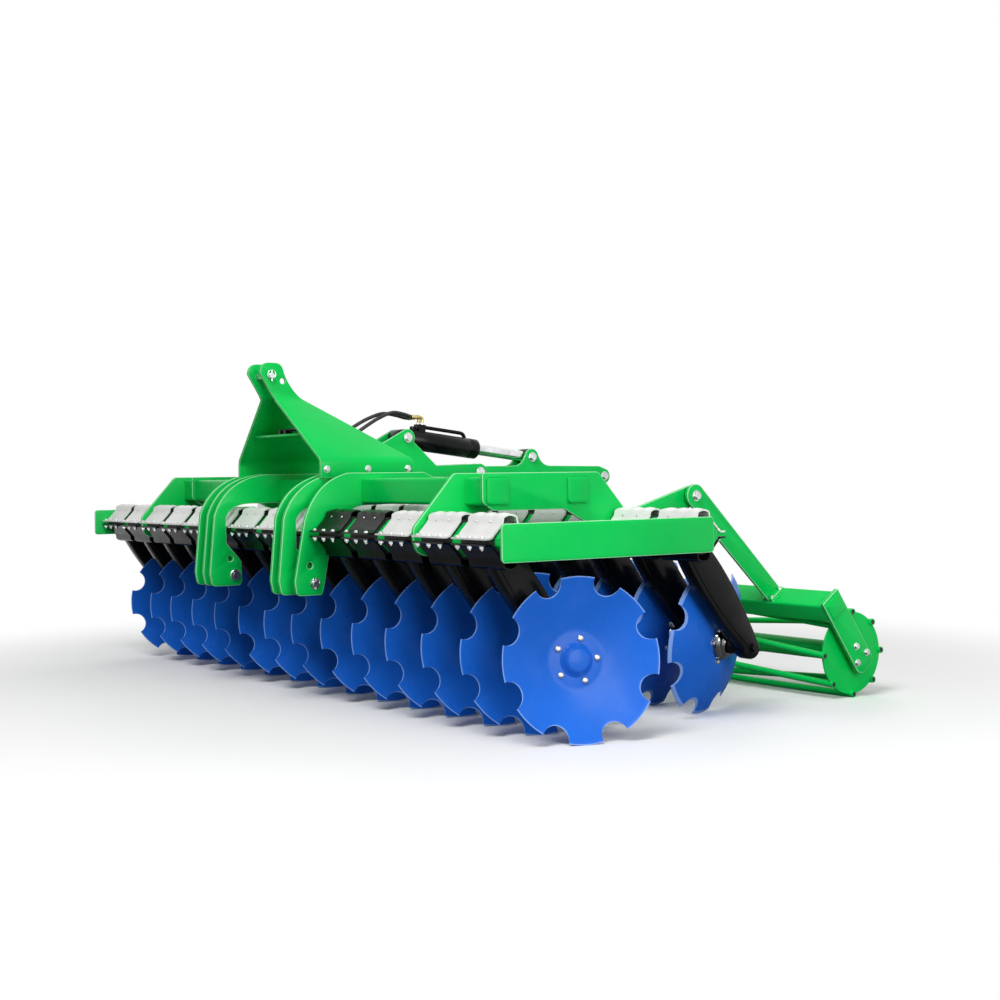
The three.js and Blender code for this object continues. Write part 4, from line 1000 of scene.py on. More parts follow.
def carrier_outline(direction):
    reach = (BEAM_Y["rear"] - BEAM_Y["front"]) / 2
    end = -(TUBE_Y["rear"] - TUBE_Y["front"]) / 2 - TUBE_SIDE / 2 - 0.013
    leg = reach + BEAM_REACH + 0.011
    points = [(end, CARRIER_TOP), (reach - 0.090, CARRIER_TOP), (leg, BEAM_HEIGHT + 0.037),
              (leg, BEAM_HEIGHT - 0.015), (leg - 0.014, BEAM_HEIGHT - 0.048),
              (leg - 0.042, BEAM_HEIGHT - 0.063), (reach + 0.004, BEAM_HEIGHT - 0.063), (reach, BEAM_HEIGHT),
              (reach - BEAM_REACH - 0.003, BEAM_HEIGHT + 0.001), (reach - 0.250, CARRIER_BOTTOM),
              (end + 0.046, CARRIER_BOTTOM), (end, CARRIER_BOTTOM + 0.030)]
    return Outline(*[(FRAME_MIDDLE_Y + direction * along, z) for along, z in points]).softened(0.012)


def bracket_outline():
    y = BEAM_Y["rear"]
    outline = Outline((y - 0.030, BEAM_HEIGHT + BEAM_REACH + 0.012), (y, BEAM_HEIGHT),
                      (y + BEAM_REACH + 0.012, BEAM_HEIGHT - 0.030),
                      (ARM_PIVOT[0] + 0.020, ARM_PIVOT[1] - 0.036))
    outline.arc(ARM_PIVOT, 0.040, -60, 108)
    outline.line((y + 0.110, BEAM_HEIGHT + BEAM_REACH + 0.020))
    return outline


def pin_parts(place, half_length, radius, head=None):
    """A pin across the machine with chamfered ends, and a washer and a hexagon head on each if asked for."""
    parts = [(drum_mesh(radius, -half_length, half_length, PIN_SIDES, 0.002), sideways(0, place))]
    if head:
        for side in (-1, 1):
            parts.append((hex_bolt(head), sideways(side * (half_length - 0.001), place, side, 0.3)))
    return parts


def pivot_pins(name, body, half_length, *places):
    bolt_piece(name, body, [part for place in places
                            for part in pin_parts(place, half_length, BIG_PIN_RADIUS, PIN_HEAD)])


def weld_line(points, radius=0.004):
    """A weld bead along a path, with the small ripples that the torch leaves."""
    path = []
    for start, end in zip(points, points[1:]):
        start, end = Vector(start), Vector(end)
        steps = max(2, int((end - start).length / 0.008))
        path += [start.lerp(end, step / steps) for step in range(steps)]
    path.append(Vector(points[-1]))
    mesh = sweep_mesh(path, radius, 8)
    for vertex in mesh.vertices:
        vertex.co += 0.0008 * noise.noise_vector(vertex.co * 160)
    return mesh


def tube_outline(tube_y, corner, inset=0.0):
    half = TUBE_SIDE / 2 - inset
    low, high = TUBE_HEIGHT - half, TUBE_HEIGHT + half
    return Outline((tube_y - half, low), (tube_y + half, low), (tube_y + half, high),
                   (tube_y - half, high)).softened(corner, 6)


def tube_bead(tube_y, x, corner, radius):
    """The weld round a cross tube, where it meets a plate's face."""
    ring = tube_outline(tube_y, corner).points
    return weld_line([(x, *point) for point in ring + ring[:1]], radius)


def add_main_frame():
    outer_face = CARRIER_X["outer"] + CARRIER_HALF
    for row, tube_y in TUBE_Y.items():
        end = outer_face + 0.002
        tube = side_mesh([tube_outline(tube_y, 0.012)], -end, end, 0.001)
        piece(f"{row}_cross_tube_skin", "frame", [tube], "green", [f"{row}_cross_tube"])
        pads, beads = [], []
        for face in (-outer_face, outer_face):
            stand = math.copysign(0.0095, face)
            pads.append(side_mesh([tube_outline(tube_y, 0.016, 0.002)], face, face + stand, 0.004))
            beads.append(tube_bead(tube_y, face, 0.016, 0.0035))
        piece(f"{row}_tube_ends", "frame", pads, "green")
        weld_piece(f"{row}_tube_end_welds", beads)
    for node, direction, x in (("rear_carrier_left", 1, CARRIER_X["outer"]),
                               ("front_carrier_left", -1, CARRIER_X["inner"]),
                               ("rear_carrier_right", 1, -CARRIER_X["inner"]),
                               ("front_carrier_right", -1, -CARRIER_X["outer"])):
        meshes = [side_mesh([carrier_outline(direction)], x - CARRIER_HALF, x + CARRIER_HALF)]
        if direction > 0:
            inward = math.copysign(CARRIER_HALF, -x)
            meshes.append(side_mesh([bracket_outline()], x + inward, x + 3 * inward))
        plate_piece(node + "_plate", "frame", meshes, [node])
        weld_piece(node + "_welds", [tube_bead(tube_y, face, 0.010, 0.0045) for tube_y in TUBE_Y.values()
                                     for face in (x - CARRIER_HALF, x + CARRIER_HALF)
                                     if abs(face) <= CARRIER_X["outer"]])
    for side, x, name in ROLLER_ARMS:
        outer = x + side * (CARRIER_HALF + ROLLER_ARM_THICKNESS)
        inner = x - side * 3 * CARRIER_HALF
        bolt_piece(f"roller_pivot_bolt_{name}", "frame",
                   [(hex_bolt(0.018), sideways(outer, ARM_PIVOT, side, 0.2)),
                    (hex_bolt(0.018), sideways(inner, ARM_PIVOT, -side, 0.2))])
    front, rear = BEAM_Y["front"] - GUARD_FRONT, BEAM_Y["rear"] + GUARD_REAR
    bar = Outline((front, GUARD_BOTTOM), (rear, GUARD_BOTTOM), (rear, GUARD_TOP), (front, GUARD_TOP))
    bar.softened(0.016, 5)
    for side, name in SIDES:
        plate_piece(f"guard_{name}_bar", "frame",
                    [side_mesh([bar], side * GUARD_X, side * (GUARD_X + GUARD_THICKNESS))],
                    [f"guard_{name}"])
        nuts = []
        for y in (BEAM_Y["front"] + 0.04, BEAM_Y["rear"] - 0.045):
            for across in (-0.03, 0.03):
                spot = (y + across, GUARD_TOP - 0.030)
                nuts.append((hex_bolt(0.011), sideways(side * (GUARD_X - SEAT_GAP), spot, -side)))
        bolt_piece(f"guard_{name}_nuts", "frame", nuts)


# ---------------------------------------------------------------- three-point hitch


def hitch_outline(through_beam):
    pin_y, pin_z = LOWER_PIN
    beam_y = BEAM_Y["front"]
    clamp_front = beam_y - FLANGE_REACH - 0.008
    clamp_top = BEAM_HEIGHT + CLAMP_REACH + 0.014
    rear = TUBE_Y["rear"] - TUBE_SIDE / 2 - SEAT_GAP
    outline = Outline((rear, CARRIER_BOTTOM + 0.020))
    outline.line((rear, TUBE_TOP - 0.004), (rear - 0.062, HITCH_TOP), (pin_y + 0.152, HITCH_TOP))
    if through_beam:
        outline.bend((pin_y + 0.010, HITCH_TOP - 0.030), (pin_y - 0.041, BEAM_HEIGHT + 0.054), 24)
        outline.line((pin_y - 0.087, pin_z + 0.009), (pin_y - 0.080, pin_z - 0.038),
                     (pin_y - 0.066, pin_z - 0.046), (pin_y + 0.030, pin_z - 0.046),
                     (pin_y + 0.039, pin_z - 0.025),
                     (pin_y + 0.072, BEAM_HEIGHT - 0.048))
        outline.bend((pin_y + 0.120, BEAM_HEIGHT + 0.105), (pin_y + 0.242, CARRIER_BOTTOM + 0.013), 20)
    else:
        outline.bend((pin_y - 0.040, HITCH_TOP - 0.020), (pin_y - 0.092, BEAM_HEIGHT + 0.060), 24)
        outline.line((pin_y - 0.115, pin_z + 0.009), (pin_y - 0.106, pin_z - 0.038),
                     (pin_y - 0.092, pin_z - 0.046), (pin_y + 0.024, pin_z - 0.046),
                     (pin_y + 0.034, pin_z - 0.025),
                     (pin_y + 0.030, pin_z + 0.060), (clamp_front, BEAM_HEIGHT - 0.060),
                     (clamp_front, BEAM_HEIGHT + 0.050))
        outline.bend((clamp_front + 0.020, clamp_top), (beam_y + 0.020, clamp_top), 14)
        outline.line((pin_y + 0.242, clamp_top))
    return outline.softened(0.006, 3)


def hitch_mesh(x, through_beam=False):
    hole = circle((LOWER_PIN[0] - 0.021, LOWER_PIN[1] + 0.071), 0.013)
    return side_mesh([hitch_outline(through_beam), hole], x - HITCH_HALF, x + HITCH_HALF)


def add_hitch():
    outer_face, inner_face = HITCH_X["outer"] + HITCH_HALF, HITCH_X["inner"] - HITCH_HALF
    collar = lathe_mesh([(0, 0), (0.024, 0), (0.024, 0.007), (0.022, 0.009), (0, 0.009)], PIN_SIDES)
    washer = lathe_mesh([(0.0145, 0), (0.022, 0), (0.022, 0.003), (0.0145, 0.003), (0.0145, 0)], PIN_SIDES)
    for side, name in SIDES:
        plate_piece(f"outer_hitch_plate_{name}_cut", "frame",
                    [hitch_mesh(side * HITCH_X["outer"], side > 0)], [f"outer_hitch_plate_{name}"])
        plate_piece(f"hitch_fork_{name}_cut", "frame",
                    [hitch_mesh(side * HITCH_X["middle"]), hitch_mesh(side * HITCH_X["inner"])],
                    [f"hitch_fork_{name}"])
        low, high = sorted((side * (inner_face - 0.010), side * (outer_face + 0.0135)))
        pin = lathe_mesh([(0, low), (LOWER_PIN_RADIUS - 0.002, low), (LOWER_PIN_RADIUS, low + 0.003),
                          (LOWER_PIN_RADIUS, high - 0.003), (LOWER_PIN_RADIUS - 0.002, high), (0, high)],
                         PIN_SIDES)
        piece(f"lower_link_pin_{name}", "frame",
              [(pin, sideways(0, LOWER_PIN)), (collar, sideways(side * inner_face, LOWER_PIN, -side)),
               (washer, sideways(side * outer_face, LOWER_PIN, side))], "zinc")
        piece(f"lower_link_linch_{name}", "frame", [linch_pin(side * (outer_face + 0.008), *LOWER_PIN)],
              "chrome", smooth_angle=ROUND_SIDED)
        spot = (LOWER_PIN[0] - 0.050, BEAM_HEIGHT + 0.010)
        spacer_x = side * (HITCH_X["inner"] + 0.004)
        spacer = (drum_mesh(0.018, 0, 0.062, PIN_SIDES), sideways(spacer_x, spot, side))
        piece(f"hitch_spacer_{name}", "frame", [spacer], "green")


def linch_pin(x, y, z, ring=0.016):
    """A spring ring through the end of a pin, with its short peg."""
    path = []
    for step in range(25):
        angle = math.radians(-70 + 320 * step / 24)
        path.append((x, y + ring * math.cos(angle), z + 0.006 + ring * math.sin(angle)))
    peg = sweep_mesh([(x, y, z - 0.022), (x, y, z + 0.022)], 0.003, 12)
    return merged([sweep_mesh(path, 0.0017, 8), peg])


def ear_outline():
    """The headstock sheet's silhouette in side view: mast ear, sloping edge and flange."""
    flange_bottom = TUBE_TOP + 0.003
    top_y, top_z = TOP_PIN
    foot_y = TUBE_Y["rear"] - 0.122
    outline = Outline((top_y + 0.016, NECK_Z), (top_y + 0.058, FOOT_Z), (top_y + 0.058, flange_bottom),
                      (foot_y, flange_bottom), (foot_y, FOOT_Z - 0.008), (foot_y - 0.013, FOOT_Z + 0.012),
                      (top_y + 0.136, NECK_Z + 0.005))
    outline.bend((top_y + 0.075, NECK_Z + 0.060), (top_y + 0.058, TOWER_TOP_Z - 0.028), 12)
    outline.bend((top_y + 0.050, TOWER_TOP_Z), (top_y + 0.020, TOWER_TOP_Z), 8)
    outline.line((top_y - 0.012, TOWER_TOP_Z))
    outline.bend((top_y - 0.046, TOWER_TOP_Z - 0.004), (top_y - 0.049, TOP_PIN[1] + 0.012), 10)
    return outline


def sheet_mesh(side):
    """The bent sheet before its silhouette is cut: ear, slope and flange with rounded bends."""
    slope = math.hypot(TOWER_FOOT_X - EAR_X, NECK_Z - FOOT_Z)
    lift = TOWER_SHEET * (slope - (NECK_Z - FOOT_Z)) / (TOWER_FOOT_X - EAR_X)
    bottom = TUBE_TOP + 0.003
    far_x, foot_x = EAR_X + TOWER_SHEET, TOWER_FOOT_X + TOWER_SHEET
    section = Outline((EAR_X, TOWER_TOP_Z + 0.01), (EAR_X, NECK_Z), (TOWER_FOOT_X, FOOT_Z),
                      (TOWER_FOOT_X, bottom - 0.01), (foot_x, bottom - 0.01), (foot_x, FOOT_Z + lift),
                      (far_x, NECK_Z + lift), (far_x, TOWER_TOP_Z + 0.01)).points
    rounded = []
    for index, corner in enumerate(section):
        if index in (1, 2, 5, 6):
            before, after = section[index - 1] - corner, section[index + 1] - corner
            rounded += round_corner(corner, before, after, 0.020, 6)
        else:
            rounded.append(corner)
    bm = bmesh.new()
    front, rear = ([bm.verts.new((side * point.x, y, point.y)) for point in rounded]
                   for y in (TOP_PIN[0] - 0.1, TUBE_Y["rear"]))
    join_rings(bm, front, rear)
    bm.faces.new(front)
    bm.faces.new(rear)
    return mesh_of(bm)


def intersect(first, second):
    """What two closed meshes share, worked out once and kept as a plain mesh."""
    holders = [bpy.data.objects.new("cutting", mesh) for mesh in (first, second)]
    for holder in holders:
        bpy.context.collection.objects.link(holder)
    modifier = holders[0].modifiers.new("cut", "BOOLEAN")
    modifier.operation = "INTERSECT"
    modifier.solver = "EXACT"
    modifier.object = holders[1]
    graph = bpy.context.evaluated_depsgraph_get()
    mesh = bpy.data.meshes.new_from_object(holders[0].evaluated_get(graph))
    for holder in holders:
        bpy.data.objects.remove(holder)
    return mesh


def bevelled(mesh, width, angle=30):
    """The mesh with its sharp edges rounded."""
    holder = bpy.data.objects.new("bevelling", mesh)
    bpy.context.collection.objects.link(holder)
    modifier = holder.modifiers.new("round", "BEVEL")
    modifier.width = width
    modifier.segments = 2
    modifier.limit_method = "ANGLE"
    modifier.angle_limit = math.radians(angle)
    graph = bpy.context.evaluated_depsgraph_get()
    result = bpy.data.meshes.new_from_object(holder.evaluated_get(graph))
    bpy.data.objects.remove(holder)
    return result


def add_headstock():
    holes = [circle(TOP_PIN, TOP_PIN_RADIUS + 0.0004),
             circle((TOP_PIN[0] + 0.055, TOP_PIN[1] - 0.020), TOP_PIN_RADIUS)]
    first, last = TOP_PIN[0] + 0.085, TUBE_Y["rear"] - 0.150
    for side, name in SIDES:
        stamp = side_mesh([ear_outline(), *holes], side * (EAR_X - 0.02), side * (TOWER_FOOT_X + 0.04),
                          0.0005)
        finish_mesh(stamp)
        panel = bevelled(intersect(sheet_mesh(side), stamp), 0.0018, 40)
        plate_piece(f"headstock_{name}_sheet", "frame", [panel], [f"headstock_panel_{name}"])
        outer = side * (TOWER_FOOT_X + TOWER_SHEET)
        bolts = []
        for share in (0, 0.5, 1):
            spot = (first + (last - first) * share, FOOT_Z - 0.034)
            bolts.append((hex_bolt(0.0125), sideways(outer, spot, side, share)))
        bolt_piece(f"headstock_{name}_bolts", "frame", bolts)
    low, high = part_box("headstock_bar")
    half = (high[0] - low[0]) / 2
    rear = TOP_PIN[0] + 0.170
    bar = block_mesh((-half, rear - 0.110, TOWER_BAR_TOP - 0.010), (half, rear, TOWER_BAR_TOP), 0.002)
    plate_piece("headstock_cross_bar", "frame", [bar], ["headstock_bar"])
    couplers, rings = [], []
    for side in (-1, 1):
        centre = (side * COUPLER_X, rear - 0.090, TOWER_BAR_TOP + COUPLER_RADIUS - 0.002)
        profile = [(0, 0), (0.010, 0), (0.011, 0.003), (0.011, 0.020), (0.013, 0.022), (0.013, 0.052),
                   (0.0115, 0.054), (0.0115, 0.060), (0.013, 0.062), (0.013, 0.082), (0.010, 0.086),
                   (0.010, 0.090), (0, 0.090)]
        couplers.append((lathe_mesh(profile, 24), aim(centre, (0, 1, 0))))
        rings.append(block_mesh((centre[0] - 0.018, rear - 0.060, TOWER_BAR_TOP - 0.001),
                                (centre[0] + 0.018, rear - 0.030, TOWER_BAR_TOP + 0.012), 0.003))
    piece("hose_couplers", "frame", couplers, "black", smooth_angle=30)
    piece("coupler_clips", "frame", rings, "green")
    end = EAR_X + TOWER_SHEET + 0.016
    piece("top_link_pin_turned", "frame", pin_parts(TOP_PIN, end, TOP_PIN_RADIUS), "zinc", ["top_link_pin"])
    piece("top_link_linch", "frame", [linch_pin(end - 0.005, *TOP_PIN, ring=0.018)], "chrome",
          smooth_angle=ROUND_SIDED)
    head = drum_mesh(0.020, 0, 0.006, PIN_SIDES)
    piece("top_link_pin_head", "frame", [(head, sideways(-end, TOP_PIN))], "zinc")


# ---------------------------------------------------------------- depth cylinder and linkage

CYLINDER_WAY = (Vector(ROD_PIN) - Vector(BASE_PIN)).normalized()
CYLINDER_LENGTH = (Vector(ROD_PIN) - Vector(BASE_PIN)).length


def on_cylinder(distance, above=0.0, x=0.0):
    y = BASE_PIN[0] + CYLINDER_WAY.x * distance - CYLINDER_WAY.y * above
    z = BASE_PIN[1] + CYLINDER_WAY.y * distance + CYLINDER_WAY.x * above
    return Vector((x, y, z))


CYLINDER_UP = on_cylinder(0, 1) - on_cylinder(0)


def eye_part(place, radius, hole, half):
    """A turned eye with chamfered rims, stood across the machine."""
    profile = [(hole, -half), (radius - 0.003, -half), (radius, -half + 0.003), (radius, half - 0.003),
               (radius - 0.003, half), (hole, half), (hole, -half)]
    return lathe_mesh(profile, 36), sideways(0, place)


def twin_plates(outline, slot, thickness):
    """Two like plates with a slot between them, in the machine's middle."""
    inner, outer = slot / 2, slot / 2 + thickness
    return [side_mesh([outline], inner, outer), side_mesh([outline], -outer, -inner)]


def centre_outline():
    foot = TUBE_TOP + SEAT_GAP
    y = TUBE_Y["rear"]
    outline = Outline((y - 0.130, foot), (ROCKER_PIN[0] - 0.120, foot),
                      (ROCKER_PIN[0], ROCKER_PIN[1] - EYE_RADIUS))
    outline.arc(ROCKER_PIN, EYE_RADIUS, -90, 81)
    outline.line((BASE_PIN[0] + 0.150, ROCKER_PIN[1] + EYE_RADIUS - 0.008),
                 (BASE_PIN[0] + EYE_RADIUS * 0.9, BASE_PIN[1] - 0.020))
    outline.arc(BASE_PIN, EYE_RADIUS, -30, 108)
    outline.line((y - 0.130, foot + 0.125))
    return outline


def rocker_outline():
    half = 0.040
    top = ROCKER_PIN[1] + 0.026
    outline = Outline((ROCKER_PIN[0] - 0.030, ROCKER_PIN[1] - 0.034),
                      (STRUT_TOP[0] - 0.020, STRUT_TOP[1] - 0.034))
    outline.arc(STRUT_TOP, half - 0.004, -108, 63)
    outline.line((STRUT_TOP[0] - 0.030, top - 0.004), (ROD_PIN[0] + 0.100, top))
    outline.bend((ROD_PIN[0] + 0.052, top + 0.004), (ROD_PIN[0] + 0.034, ROD_PIN[1] + 0.018), 8)
    outline.arc(ROD_PIN, EYE_RADIUS, 27, 153)
    outline.bend((ROD_PIN[0] - 0.052, top + 0.004), (ROD_PIN[0] - 0.100, top), 8)
    outline.line((ROCKER_PIN[0] - 0.020, top))
    outline.arc(ROCKER_PIN, half, 108, 225)
    return outline


def add_linkage():
    inner = CENTRE_SLOT / 2
    outer = inner + CENTRE_PLATE
    y = TUBE_Y["rear"]
    tie = block_mesh((-inner - 0.002, y - 0.060, TUBE_TOP + SEAT_GAP),
                     (inner + 0.002, y + 0.060, TUBE_TOP + 0.018))
    plate_piece("centre_bracket_plates", "frame",
                [*twin_plates(centre_outline(), CENTRE_SLOT, CENTRE_PLATE), tie], ["centre_bracket"])
    pivot_pins("centre_bracket_pins", "frame", outer + 0.004, BASE_PIN, ROCKER_PIN)
    weld_z = TUBE_TOP + 0.002
    weld_piece("centre_bracket_welds", [weld_line([(x, y - 0.050, weld_z), (x, y + 0.050, weld_z)], 0.005)
                                        for x in (-outer, outer)])

    inner = ROCKER_SLOT / 2
    spacer = (drum_mesh(0.016, -inner, inner, 24), sideways(0, (ROD_PIN[0] + 0.200, ROCKER_PIN[1] - 0.004)))
    plate_piece("depth_rocker_plates", "rocker",
                [*twin_plates(rocker_outline(), ROCKER_SLOT, ROCKER_PLATE), spacer], ["depth_rocker"])
    pivot_pins("depth_rocker_pins", "rocker", inner + ROCKER_PLATE + 0.003, ROD_PIN, STRUT_TOP)

    top, foot = Vector(STRUT_TOP), Vector(STRUT_FOOT)
    way = (top - foot).normalized()
    shank = sweep_mesh([(0, *(foot + way * 0.034)), (0, *(top - way * 0.034))], STRUT_RADIUS, 28)
    eyes = [eye_part(place, EYE_RADIUS - 0.006, BIG_PIN_RADIUS + room, inner - 0.005)
            for place, room in ((STRUT_TOP, OPEN_EYE_ROOM), (STRUT_FOOT, PIN_GAP))]
    piece("depth_strut_body", "strut", [shank, *eyes], "green", ["depth_strut"])
    collar = lathe_mesh([(0, -0.03), (0.027, -0.03), (0.028, -0.028), (0.028, 0.028), (0.027, 0.03),
                         (0, 0.03)], 6)
    bolt_piece("depth_strut_locknut", "strut", [(collar, aim((0, *((top + foot) / 2)), (0, *way)))])


def elbow_points(start, along, out, radius, steps=8):
    """A quarter bend that leaves start along one way and turns to another."""
    angles = [math.radians(90 * step / steps) for step in range(1, steps + 1)]
    return [start + along * radius * math.sin(angle) + out * radius * (1 - math.cos(angle))
            for angle in angles]


def barrel_profile():
    """The barrel with its end collar, and the bore that the rod goes into."""
    bore, end, groove = ROD_RADIUS + PIN_GAP, BARREL_LENGTH, BARREL_RADIUS - 0.0012
    return [(0, 0.030), (0.036, 0.032), (BARREL_RADIUS, 0.042), (BARREL_RADIUS, end - 0.052),
            (groove, end - 0.050), (groove, end - 0.047), (BARREL_RADIUS, end - 0.045),
            (BARREL_RADIUS, end - 0.005), (BARREL_RADIUS - 0.004, end), (bore + 0.004, end),
            (bore, end - 0.003), (bore, end - 0.150), (0, end - 0.150)]


def add_cylinder():
    way = Vector((0, *CYLINDER_WAY))
    start = Vector((0, *BASE_PIN))
    eye = eye_part(BASE_PIN, EYE_RADIUS, BIG_PIN_RADIUS + PIN_GAP, CENTRE_SLOT / 2 - 0.006)
    piece("cylinder_tube", "barrel", [(lathe_mesh(barrel_profile(), 48), aim(start, way)), eye], "black",
          ["cylinder_barrel"], 45)
    block_top = BARREL_RADIUS + 0.027
    block = flat_mesh([[(-0.017, 0.030), (0.017, 0.030), (0.017, block_top), (-0.017, block_top)]],
                      2 * (PORT_X + 0.011), 0.002)
    turn = Matrix.Rotation(math.atan2(CYLINDER_WAY.y, CYLINDER_WAY.x), 4, "X")
    on_barrel = Matrix.Translation(on_cylinder(PORT_DISTANCE)) @ turn @ ALONG_X
    lug = (lathe_mesh([(0, 0), (0.016, 0), (0.014, 0.014), (0.012, 0.016), (0, 0.016)], 20),
           aim(on_cylinder(0.060, BARREL_RADIUS - 0.002), CYLINDER_UP))
    piece("cylinder_port_block", "barrel", [(block, on_barrel), lug], "black")
    pipe_height, pipe_bend = BARREL_RADIUS + 0.018, 0.026
    run_start, run_end = PORT_DISTANCE + 0.060, BARREL_LENGTH - 0.090
    stations = [PORT_DISTANCE + 0.012, PORT_DISTANCE + 0.040]
    stations += [run_start + (run_end - run_start) * step / 6 for step in range(7)]
    pipe = [on_cylinder(station, pipe_height) for station in stations]
    pipe += elbow_points(pipe[-1], way, -CYLINDER_UP, pipe_bend)
    pipe.append(on_cylinder(run_end + pipe_bend, BARREL_RADIUS - 0.012))
    piece("cylinder_steel_pipe", "barrel", [sweep_mesh(pipe, 0.0085)], "black", smooth_angle=ROUND_SIDED)
    stems, elbows = [], []
    for side in (-1, 1):
        foot = on_cylinder(PORT_DISTANCE, BARREL_RADIUS + 0.026, side * PORT_X)
        stems.append((hex_bolt(0.011), aim(foot, CYLINDER_UP)))
        path = [foot, foot + CYLINDER_UP * 0.020]
        path += elbow_points(path[-1], CYLINDER_UP, Vector((0, -1, 0)), 0.014)
        path.append(path[-1] + Vector((0, -0.012, 0)))
        elbows += [sweep_mesh(path, 0.0075), (hex_bolt(0.0095), aim(path[-1], (0, 1, 0)))]
    bolt_piece("port_adaptors", "barrel", stems)
    piece("port_elbows", "barrel", elbows, "brass", smooth_angle=40)
    rod = drum_mesh(ROD_RADIUS, BARREL_LENGTH - 0.120, CYLINDER_LENGTH - EYE_RADIUS + 0.006, 48)
    piece("cylinder_chromed_rod", "rod", [(rod, aim(start, way))], "chrome", ["cylinder_rod"])
    rod_eye = eye_part(ROD_PIN, EYE_RADIUS, BIG_PIN_RADIUS + OPEN_EYE_ROOM, ROCKER_SLOT / 2 - 0.005)
    piece("cylinder_rod_eye", "rod", [rod_eye], "black")


def hose_route(side):
    """The hose's points from its coupler to its fitting, as the part has them."""
    coupler_end = TOP_PIN[0] + 0.170
    coupler_z = TOWER_BAR_TOP + COUPLER_RADIUS - 0.002
    points = [(COUPLER_X, coupler_end + SEAT_GAP, coupler_z), (COUPLER_X, coupler_end + 0.040, coupler_z),
              (0.022, -0.070, 1.096), (0.020, -0.010, 1.085), (0.019, 0.050, 1.093), (0.018, 0.105, 1.117),
              (0.017, 0.160, 1.150), (0.016, 0.220, 1.182), (PORT_X, 0.285, 1.204), (PORT_X, 0.345, 1.212),
              (PORT_X, 0.400, 1.208)]
    return [Vector((side * x, y, z)) for x, y, z in points]


def smooth_path(points, steps=8):
    """A path through the points with no corners."""
    path = []
    for index in range(len(points) - 1):
        before = points[max(index - 1, 0)]
        start, end = points[index], points[index + 1]
        after = points[min(index + 2, len(points) - 1)]
        for step in range(steps):
            t = step / steps
            bow = 2 * before - 5 * start + 4 * end - after
            twist = 3 * start - before - 3 * end + after
            path.append(0.5 * ((2 * start) + (end - before) * t + bow * t ** 2 + twist * t ** 3))
    return path + [points[-1]]


def add_hoses():
    for side, name in SIDES:
        fitting = on_cylinder(PORT_DISTANCE, BARREL_RADIUS + 0.026, side * PORT_X)
        mouth = fitting + CYLINDER_UP * 0.034 + Vector((0, -0.026, 0))
        run_in = [mouth + Vector((0, -0.070, 0.012)), mouth + Vector((0, -0.030, 0.001)), mouth]
        route = hose_route(side)[:-2] + run_in
        if side < 0:
            last = len(route) - 1
            route = [point + Vector((0, -0.045 * math.sin(math.pi * index / last), -0.004))
                     if 0 < index < last else point for index, point in enumerate(route)]
        path = smooth_path(route)
        hose = piece(f"cylinder_hose_{name}_cover", None, [sweep_mesh(path, HOSE_RADIUS)], "hose",
                     [f"cylinder_hose_{name}"], ROUND_SIDED)
        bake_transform(hose)
        shell = HOSE_RADIUS + 0.0018
        ferrule = lathe_mesh([(0, -0.032), (HOSE_RADIUS + 0.0012, -0.032), (shell, -0.030), (shell, -0.006),
                              (0.0085, -0.004), (0.0085, 0.004), (0, 0.004)], 24)
        piece(f"hose_ferrule_{name}", "barrel", [(ferrule, aim(mouth, path[-1] - path[-3]))], "brass")
        rim = HOSE_RADIUS + 0.002
        collar = lathe_mesh([(0, 0), (rim, 0), (rim, 0.026), (HOSE_RADIUS, 0.028), (0, 0.028)], 24)
        piece(f"hose_collar_{name}", "frame", [(collar, aim(route[0], (0, 1, 0)))], "zinc")


# ---------------------------------------------------------------- roller and its frame


def on_plate(up, across):
    return Vector((ROLLER_AXIS_Y - math.sin(ROLLER_RISE) * up + math.cos(ROLLER_RISE) * across,
                   ROLLER_AXIS_Z + math.cos(ROLLER_RISE) * up + math.sin(ROLLER_RISE) * across))


def plate_outline(*corners):
    return Outline(*[on_plate(*corner) for corner in corners])


def add_roller_frame():
    half = ROLLER_BEAM_WIDTH / 2
    top = ROLLER_BEAM_TOP
    bottom = top - ROLLER_BEAM_DEPTH
    beam = plate_outline((bottom, -half), (bottom, half), (top, half), (top, -half)).softened(0.010)
    end = ROLLER_PLATE_X - SEAT_GAP
    lug = Outline(on_plate(top - 0.010, half - 0.002), (STRUT_FOOT[0] + EYE_RADIUS, STRUT_FOOT[1]))
    lug.arc(STRUT_FOOT, EYE_RADIUS, 0, 180)
    lug.line(on_plate(top - 0.010, -half + 0.002))
    piece("roller_beam_tube", "roller_frame", [side_mesh([beam], -end, end, 0.001)], "green",
          ["roller_beam"])
    plate_piece("roller_beam_lugs", "roller_frame", twin_plates(lug, ROCKER_SLOT, ROCKER_PLATE))
    pivot_pins("roller_beam_pin", "roller_frame", ROCKER_SLOT / 2 + ROCKER_PLATE + 0.003, STRUT_FOOT)
    add_end_plates(bottom)
    for side, x, name in ROLLER_ARMS:
        add_roller_arm(side, x + side * (CARRIER_HALF + SEAT_GAP), name)


